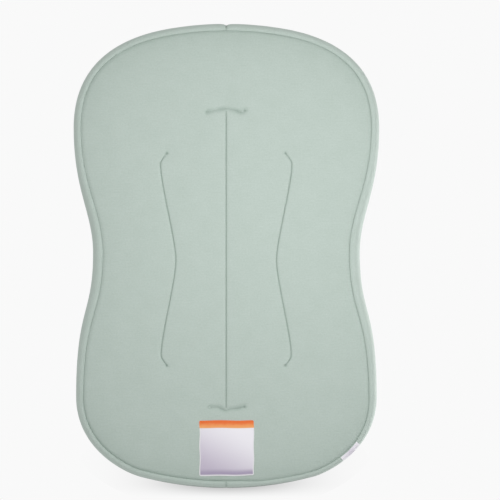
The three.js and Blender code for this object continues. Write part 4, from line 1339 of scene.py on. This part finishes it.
# %% Places on the zip
foot_slope, foot_rise = fine.seam_angle[0, 0], fine.rise[0, 0]
ZIP_SEAM = np.array([CREST * (1 - math.cos(foot_slope)), RIM_SEAM_Z])
ZIP_UP = unit(np.array([CREST * math.sin(foot_slope), foot_rise * math.cos(foot_slope)]))
ZIP_OUT = np.array([-ZIP_UP[1], ZIP_UP[0]])
CHAIN_RADIUS = ARC_RADIUS - ZIP_SEAM[0]


def zip_frame(run, out=0.0):
    """The matrix of a straight part beside the chain, whose axes run along, up and out."""
    section = ZIP_SEAM + ZIP_OUT * out
    radius = ARC_RADIUS - section[0]
    across, ahead = math.sin(run / CHAIN_RADIUS), math.cos(run / CHAIN_RADIUS)
    up, away = ((-across * way[0], ahead * way[0], way[1]) for way in (ZIP_UP, ZIP_OUT))
    centre = (radius * across, ARC_RADIUS - HALF_LENGTH - radius * ahead, section[1])
    return Matrix((*zip((ahead, across, 0), up, away, centre), (0, 0, 0, 1)))


def zip_layer(runs, ups, depth):
    """Points and ways out at a depth under the cover's slope beside the zip."""
    at = rows_at(fine, np.abs(runs) * ARC_RADIUS / CHAIN_RADIUS)
    place, out = outer_slope(at, at.seam_angle + np.atleast_2d(ups) / at.speed)
    depth = np.broadcast_to(depth, place.shape[:2])[..., None]
    mirror = np.where(runs < 0, -1.0, 1.0)[:, None, None] * [1, 0, 0] + [0, 1, 1]
    ahead = in_space(at, place + out * MM) - in_space(at, place)
    return in_space(at, place - out * depth) * mirror, unit(ahead * mirror)


print("zip seam at", [round(float(v), 5) for v in ZIP_SEAM])

# %% [markdown]
# Each tape is a strip of woven cloth sewn behind the hem, with a small bead along the edge that
# carries the teeth. Two rows of stitches hold the tapes, one through each hem.

# %% Zip tapes
def zip_strip(name, runs, ups, outer, inner, *handed):
    """A thin closed strip along the zip between two depths."""
    face, back = (zip_layer(runs, ups, depth)[0] for depth in (outer, inner))
    strip = skin(name, runs[:, None], np.concatenate([face, back[:, ::-1]], 1), 1)
    return hand_over(strip, *handed)


TAPE_END, HEM_END, HEM_UP = 131, 121, 7.3
tape_runs = np.linspace(-TAPE_END, TAPE_END, 109) * MM
tape_ends = 0.85 * MM * smooth((np.abs(tape_runs) - 114.2 * MM) / (2.5 * MM))[:, None]
tape_ups = np.array([1.0, 1.15, 1.5, 2.1, 2.5, 2.8, 3.6, 4.4, 5.2, 6.4, 7.8, 9.2, 10.2]) * MM
tape_bead = 0.16 * MM * near(tape_ups - 1.8 * MM, 0.8 * MM, 4)
ZIP_SIDES = {"upper": 1, "lower": -1}
for label, side in ZIP_SIDES.items():
    sway = 0.05 * MM * ripple(tape_runs, 61 + side, (41, 23, 12))[:, None]
    outer = 1.7 * MM - tape_bead + sway * near(tape_ups - 4 * MM, 2 * MM)
    ups = side * (tape_ups - tape_ends * near(tape_ups, 2 * MM))
    name = f"zip_tape_{label}"
    zip_strip(f"{name}_weave", tape_runs, ups, outer, 2.2 * MM, tape_weave, "webbing", [name])

hem_runs = np.arange(-HEM_END, HEM_END + 0.1, STITCH / MM) * MM
hem_rows = [zip_layer(hem_runs, [up * MM], -0.08 * MM) for up in (-HEM_UP, HEM_UP)]
stitch_rows("zip_hem_stitches", [(spots_on[:, 0], outs[:, 0]) for spots_on, outs in hem_rows])

# %% [markdown]
# The chain is of moulded nylon teeth. One tooth is a short bar with a rounded head that locks
# between two teeth of the other row, and each row is many copies of it, turned with the curve of
# the foot end.

# %% Parts of the zip
def block(*spans):
    """A box between low and high values along, up and out, in mm: the start of a hard part."""
    spans = np.array(spans) * MM
    started(bpy.ops.mesh.primitive_cube_add, size=1)
    resize(*(spans[:, 1] - spans[:, 0]))
    move(*spans.mean(axis=1))
    mode("OBJECT")
    return bpy.context.object


def select_edges(thing, test):
    """Selects the edges that pass a test of their two ends, in edit mode."""
    bpy.context.view_layer.objects.active = thing
    mode("EDIT")
    bpy.ops.mesh.select_mode(type="EDGE")
    bpy.ops.mesh.select_all(action="DESELECT")
    work = bmesh.from_edit_mesh(thing.data)
    for edge in work.edges:
        edge.select_set(bool(test(*(corner.co for corner in edge.verts))))
    bmesh.update_edit_mesh(thing.data)


def round_edges(thing, test, offset, segments=3):
    select_edges(thing, test)
    bpy.ops.mesh.bevel(offset=offset * MM, segments=segments, affect="EDGES")
    mode("OBJECT")


def upright(a, b):
    return abs(a.x - b.x) < 1e-7 and abs(a.y - b.y) < 1e-7


def at_tail(a, b):
    return max(a.x, b.x) < 0


def apply(thing, kind, **settings):
    """Adds a modifier with its settings to a part, and applies it."""
    modifier = thing.modifiers.new("Shape", kind)
    for key, value in settings.items():
        setattr(modifier, key, value)
    bpy.context.view_layer.objects.active = thing
    bpy.ops.object.modifier_apply(modifier=modifier.name)


def narrowed(thing, share):
    """Makes the tail of a part narrower."""
    select_edges(thing, at_tail)
    resize(1, share, 1)
    mode("OBJECT")
    return thing


def rounded(offset, segments, *spans):
    """A block whose upright edges are rounded."""
    thing = block(*spans)
    round_edges(thing, upright, offset, segments)
    return thing


def soften(thing, width):
    """Rounds every sharp edge that is left."""
    angle = math.radians(38)
    apply(thing, "BEVEL", width=width * MM, segments=2, limit_method="ANGLE", angle_limit=angle)


def cut(thing, tool):
    """Takes the tool's shape out of a part, and removes the tool."""
    apply(thing, "BOOLEAN", operation="DIFFERENCE", solver="EXACT", object=tool)
    bpy.data.objects.remove(tool)


def finish_part(parts, name, frame_matrix, cad, body="lounger"):
    """Joins the parts, puts them in their place on the zip and hands them to the frame."""
    active_only(*parts)
    if len(parts) > 1:
        bpy.ops.object.join()
    thing = bpy.context.object
    thing.name = thing.data.name = name
    thing.data.transform(frame_matrix)
    bpy.ops.object.shade_smooth_by_angle(angle=SHARP["hard"])
    thing.data.materials.clear()
    hand_over(thing, zip_zinc, "zinc", [cad], body=body)


def hard_material(name, colour, roughness, metallic, grain):
    material, tree, shader = new_material(name)
    place = node(tree, "TexCoord").outputs["Object"]
    speck = node(tree, "TexNoise", Vector=place, Scale=grain, Detail=4.0).outputs[0]
    tone = mix_colour(tree, speck, (*(c * 0.82 for c in colour[:3]), 1), colour)
    rough = math_node(tree, "MULTIPLY_ADD", speck, 0.2, roughness - 0.1)
    relief = node(tree, "Bump", Height=speck, Strength=0.1, Distance=0.0002).outputs["Normal"]
    for value, label in ((tone, "Base Color"), (rough, "Roughness"), (relief, "Normal")):
        tree.links.new(value, shader.inputs[label])
    shader.inputs["Metallic"].default_value = metallic
    return material


NYLON, ZINC = rgb(166, 182, 174), rgb(172, 175, 174)
zip_nylon = hard_material("Zip nylon", NYLON, roughness=0.45, metallic=0.0, grain=900)
zip_zinc = hard_material("Zip zinc", ZINC, roughness=0.3, metallic=1.0, grain=500)
print("zip parts' tools and finishes made")

# %% Zip teeth
TOOTH_PITCH = 2.5 * MM
CHAIN = (-112 * MM, 111 * MM)
PHASE = {"upper": 0.35, "lower": 0.85}

# One tooth of the upper row: a bar from the tape's edge to just past the middle.
tooth = block((-0.57, 0.57), (-0.75, 2.9), (-1.36, 0.34))
select_edges(tooth, lambda a, b: min(a.y, b.y) > 2 * MM)
bpy.ops.transform.resize(value=(0.8, 1, 0.9))
mode("OBJECT")
round_edges(tooth, lambda a, b: abs(a.y - b.y) > 1 * MM, 0.34, 2)
round_edges(tooth, lambda a, b: max(a.y, b.y) < -0.7 * MM, 0.3, 1)
tooth_points, tooth_faces = taken(tooth)
for label, side in ZIP_SIDES.items():
    row = np.arange(CHAIN[0] + TOOTH_PITCH * PHASE[label], CHAIN[1] - 0.5 * MM, TOOTH_PITCH)
    frames = [zip_frame(run) for run in row]
    places = [(np.array(f.translation), np.array(f.to_3x3().transposed())) for f in frames]
    name = f"zip_teeth_{label}"
    teeth = copies(f"{name}_row", tooth_points * [1, side, 1], tooth_faces, places)
    hand_over(teeth, zip_nylon, "nylon", [name])
    print(len(row), "teeth")

# %% [markdown]
# The slider is a small zinc casting: two plates with rounded corners, narrower at the tail,
# joined by a post at the nose, with a bail on the upper one. The pull hangs in the bail by its
# bar. Its window, its tapered neck and a shallow thumb rest are cut and bevelled.

# %% Zip slider and pull
SLIDER_RUN = 107.6 * MM


def slider_plate(low, high):
    plate = narrowed(block((-5.5, 5.5), (-4.5, 4.5), (low, high)), 0.8)
    round_edges(plate, upright, 2.4, 5)
    soften(plate, 0.22)
    return plate


def slider_flange(side):
    flange = block((-3.4, 3.6), sorted((3.3 * side, 4.35 * side)), (-1.3, 1.3))
    select_edges(flange, at_tail)
    move(0, -0.25 * side * MM, 0)
    mode("OBJECT")
    soften(flange, 0.3)
    return flange


def slider_bail():
    """An arch over the upper plate, spun from a flat section."""
    started(bpy.ops.mesh.primitive_plane_add, size=1)
    bail = bpy.context.object
    resize(0.8 * MM, 2.2 * MM, 1)
    move(2.8 * MM, 0, 0)
    bpy.ops.mesh.spin(steps=14, angle=math.pi, center=(0, 0, 0), axis=(0, 1, 0))
    bpy.ops.mesh.select_all(action="SELECT")
    bpy.ops.mesh.normals_make_consistent(inside=False)
    resize(1, 1, 0.86)
    move(0, 0, 1.55 * MM)
    mode("OBJECT")
    soften(bail, 0.2)
    return bail


# The post that parts the two rows stops short of them, because the chain stays closed here.
posts = [rounded(0.4, 3, (3.8, 5.0), (-0.65, 0.65), ends) for ends in ((0.46, 1.2), (-3.5, -1.5))]
slider_parts = [slider_plate(0.75, 1.65), slider_plate(-3.93, -3.03), *posts]
slider_parts += [slider_flange(1), slider_flange(-1), slider_bail()]
finish_part(slider_parts, "zip_slider_cast", zip_frame(SLIDER_RUN), "zip_slider", "slider")

pull = narrowed(block((-0.55, 20), (-3.1, 3.1), (-0.55, 0.55)), 0.82)
round_edges(pull, lambda a, b: upright(a, b) and a.x > 0, 2.8, 6)
round_edges(pull, lambda a, b: upright(a, b) and a.x < 0, 0.9, 3)
window = rounded(0.5, 3, (0.55, 4.4), (-1.55, 1.55), (-2, 2))
thumb_rest = rounded(1.6, 6, (8, 17), (-1.7, 1.7), (0.33, 2))
cut(pull, window)
cut(pull, thumb_rest)
soften(pull, 0.16)
finish_part([pull], "zip_pull_cast", zip_frame(SLIDER_RUN, 2.6 * MM), "zip_pull", "pull")

# %% [markdown]
# Small crimped stops end the chain. The closed end of the zip is covered by a folded tab of the
# knit, sewn down round its edge, so that nothing hard can touch the infant.

# %% Zip stops and end tab
TAB_MIDDLE = 124.8
TAB_HALF = (7.4, 8.4)
SEWN_HALF = (5.9, 6.9)
for name, run, ends, ups in (
    ("zip_end_stop_upper", 115, (0, 1.8), (0.9, 2.9)),
    ("zip_end_stop_lower", 115, (0, 1.8), (-2.9, -0.9)),
    ("zip_start_stop", -112, (-1.8, 0), (-2.9, 2.9)),
):
    stop = block(ends, ups, (-1.4, 0.4))
    round_edges(stop, lambda a, b: min(a.z, b.z) > 0, 0.5, 3)
    soften(stop, 0.12)
    finish_part([stop], f"{name}_crimp", zip_frame(run * MM), name)

closer = np.sin(np.linspace(-math.pi / 2, math.pi / 2, 27))
tab_along, tab_ups = TAB_HALF[0] * closer, TAB_HALF[1] * closer
edge_away = np.minimum(TAB_HALF[0] - np.abs(tab_along)[:, None], TAB_HALF[1] - np.abs(tab_ups)) * MM
tab_depth = (1 - near(edge_away, 0.5 * MM)) * (1 - 0.7 * near(edge_away - 1.5 * MM, 0.5 * MM, 2))
tab = zip_strip(
    "zip_end_tab_cloth", (TAB_MIDDLE + tab_along) * MM, tab_ups * MM,
    -(0.62 * MM + 0.5 * MM * tab_depth), -0.32 * MM, sage_knit, "knit", ["zip_end_tab"],
)
corners = np.array([(-1, -1), (1, -1), (1, 1), (-1, 1)]) * SEWN_HALF + [TAB_MIDDLE, 0]
tab_rows = []
for a, b in zip(corners, np.roll(corners, -1, axis=0)):
    steps = np.linspace(0, 1, 1 + round(math.dist(a, b) / 2.2))[:-1, None]
    found = [zip_layer(np.array([run]), [up], -0.84 * MM) for run, up in (a + (b - a) * steps) * MM]
    tab_rows.append([np.array([place[0, 0] for place in places]) for places in zip(*found)])
stitch_rows("zip_tab_stitches", tab_rows)

# %% [markdown]
# The picture was taken straight from below, so the camera looks up through the floor. The floor
# is therefore white only towards a camera above it, where it keeps the object's shadow, and clear
# from below. A small clear card at the foot end carries a painted soft shadow, the one that the
# picture shows under that rim.

# %% Camera
EYE = np.array([-0.0335, 0.0083, -2.636])
BACKDROP = (0.948, 0.948, 0.948, 1)
LENS, SENSOR, PICTURE = 135, 36, 500
camera_data = bpy.data.cameras.new("Camera")
camera_data.lens = LENS
camera_data.sensor_width = SENSOR
camera = linked("Camera", camera_data)
camera.matrix_world = Matrix.Translation(EYE) @ Matrix.Diagonal((-1, 1, -1, 1))
bpy.context.scene.camera = camera
print("camera at", tuple(round(v, 4) for v in camera.location))


# %% Floor
def staged(name, points, faces):
    mesh = bpy.data.meshes.new(name)
    mesh.from_pydata(points, [], faces)
    thing = linked(name, mesh)
    material, tree, _ = new_material(name.replace("_", " ").capitalize())
    tree.nodes.clear()
    mesh.materials.append(material)
    return mesh, tree, node(tree, "LightPath").outputs, node(tree, "NewGeometry").outputs


FLOOR_CORNERS = [(x, y, -0.0015) for x, y in ((-4, -4), (4, -4), (4, 4), (-4, 4))]
_, tree, path, side = staged("floor", FLOOR_CORNERS, [(0, 1, 2, 3)])
above = math_node(tree, "SUBTRACT", 1.0, side["Backfacing"])
seen = math_node(tree, "MULTIPLY", path["Is Camera Ray"], above)
paper = node(tree, "BsdfDiffuse", Color=(0.6, 0.6, 0.6, 1))
glow = node(tree, "Emission", Color=(1, 1, 1, 1), Strength=0.37)
white = node(tree, "AddShader", _0=paper.outputs[0], _1=glow.outputs[0])
place = node(tree, "TexCoord").outputs["Object"]
reach = node(tree, "VectorMath", {"operation": "LENGTH"}, _0=place).outputs["Value"]
far = mapped(tree, reach, 0.3, 0.75, 0.0, 1.0)
even = node(tree, "Emission", Color=BACKDROP, Strength=1.0)
white = node(tree, "MixShader", _0=far, _1=white.outputs[0], _2=even.outputs[0])
clear = node(tree, "BsdfTransparent")
floor_mix = node(tree, "MixShader", _0=seen, _1=clear.outputs[0], _2=white.outputs[0])
node(tree, "OutputMaterial", Surface=floor_mix.outputs[0])
print("floor made")

# %% Shadow card at the foot end
# Each row of the card starts where the camera sees the foot rim end, and hangs straight down.
PIXELS = LENS / SENSOR * PICTURE
MIDDLE_PIXEL = PICTURE / 2
foot_edge = fine.edge[fine.run[:, 0] < 0.21]
foot_edge = np.concatenate([(foot_edge[1:] * [-1, 1])[::-1], foot_edge])
depths = np.linspace(-0.002, -0.21, 27)
top_row = EYE[:2] + (foot_edge - EYE[:2]) * (depths[0] - EYE[2]) / (WIDEST_Z - EYE[2])
card_points = np.concatenate([np.insert(top_row, 2, z, axis=1) for z in depths])
card_faces = grid_faces(len(depths), len(top_row)).tolist()
scale = PIXELS / (card_points[:, 2] - EYE[2])
seen_x, seen_y = MIDDLE_PIXEL - (card_points[:, :2] - EYE[:2]).T * scale
# A painted soft shadow, darkest under the middle of the foot rim and fading downwards and to the
# sides.
shade = 0.56 * np.exp(-(((seen_x - 228) / 65) ** 2)) * (1 - smooth((seen_y - 482) / 17))
card, tree, path, side = staged("shadow_card", card_points.tolist(), card_faces)
card.attributes.new("shade", "FLOAT", "POINT").data.foreach_set("value", shade)
# depth is how dark the painted shadow is at each point.
depth = node(tree, "Attribute", {"attribute_name": "shade"}).outputs["Fac"]
visible = math_node(tree, "MULTIPLY", side["Backfacing"], path["Is Camera Ray"])
level = math_node(tree, "SUBTRACT", 1.0, math_node(tree, "MULTIPLY", depth, visible))
clear = node(tree, "BsdfTransparent", Color=grey(tree, level))
node(tree, "OutputMaterial", Surface=clear.outputs[0])
print("shadow card made, its deepest shade", round(float(shade.max()), 3))

# %% [markdown]
# The light is that of a bright studio: soft light from below and from the picture's right for the
# picture's own view, and a lamp above for the others. The backdrop is the picture's near white.

# %% World
world = bpy.data.worlds.new("World")
bpy.context.scene.world = world
world.use_nodes = True
tree = world.node_tree
tree.nodes.clear()
path = node(tree, "LightPath").outputs
direct = math_node(tree, "ADD", path["Is Camera Ray"], path["Is Glossy Ray"])
direct = math_node(tree, "ADD", direct, path["Is Transmission Ray"])
direct = node(tree, "Clamp", Value=direct).outputs[0]
sky = node(tree, "SeparateXYZ", _0=node(tree, "TexCoord").outputs["Generated"]).outputs["Z"]
ambient_level = mapped(tree, sky, -0.7, -0.1, 0.54, 0.86)
overhead = mapped(tree, sky, 0.05, 0.6, 0.0, -0.34)
level = math_node(tree, "ADD", ambient_level, overhead)
backdrop = node(tree, "Background", Color=BACKDROP, Strength=1.0)
ambient = node(tree, "Background", Color=(1, 1, 1, 1), Strength=level)
both = node(tree, "MixShader", _0=direct, _1=ambient.outputs[0], _2=backdrop.outputs[0])
node(tree, "OutputWorld", Surface=both.outputs[0])
print("world made")


# %% Lamps
def soft_lamp(name, place, target, size, power):
    lamp_data = bpy.data.lights.new(name, "AREA")
    lamp_data.shape = "DISK"
    lamp_data.size = size
    lamp_data.energy = power
    lamp = linked(name, lamp_data)
    turn = (Vector(target) - Vector(place)).to_track_quat("-Z", "Y")
    lamp.matrix_world = Matrix.Translation(place) @ turn.to_matrix().to_4x4()
    lamp.visible_camera = False


soft_lamp("Lamp below", (-0.1, 0.12, -0.6), (-0.04, 0.05, 0), size=0.4, power=1.7)
soft_lamp("Lamp at the side", (-1.2, 0.1, -0.35), (0, 0, 0), size=0.8, power=1.4)
soft_lamp("Lamp above", (-1.1, -0.4, 1.35), (0, 0, 0.05), size=0.55, power=20)
scene = bpy.context.scene
scene.view_settings.view_transform = "Standard"
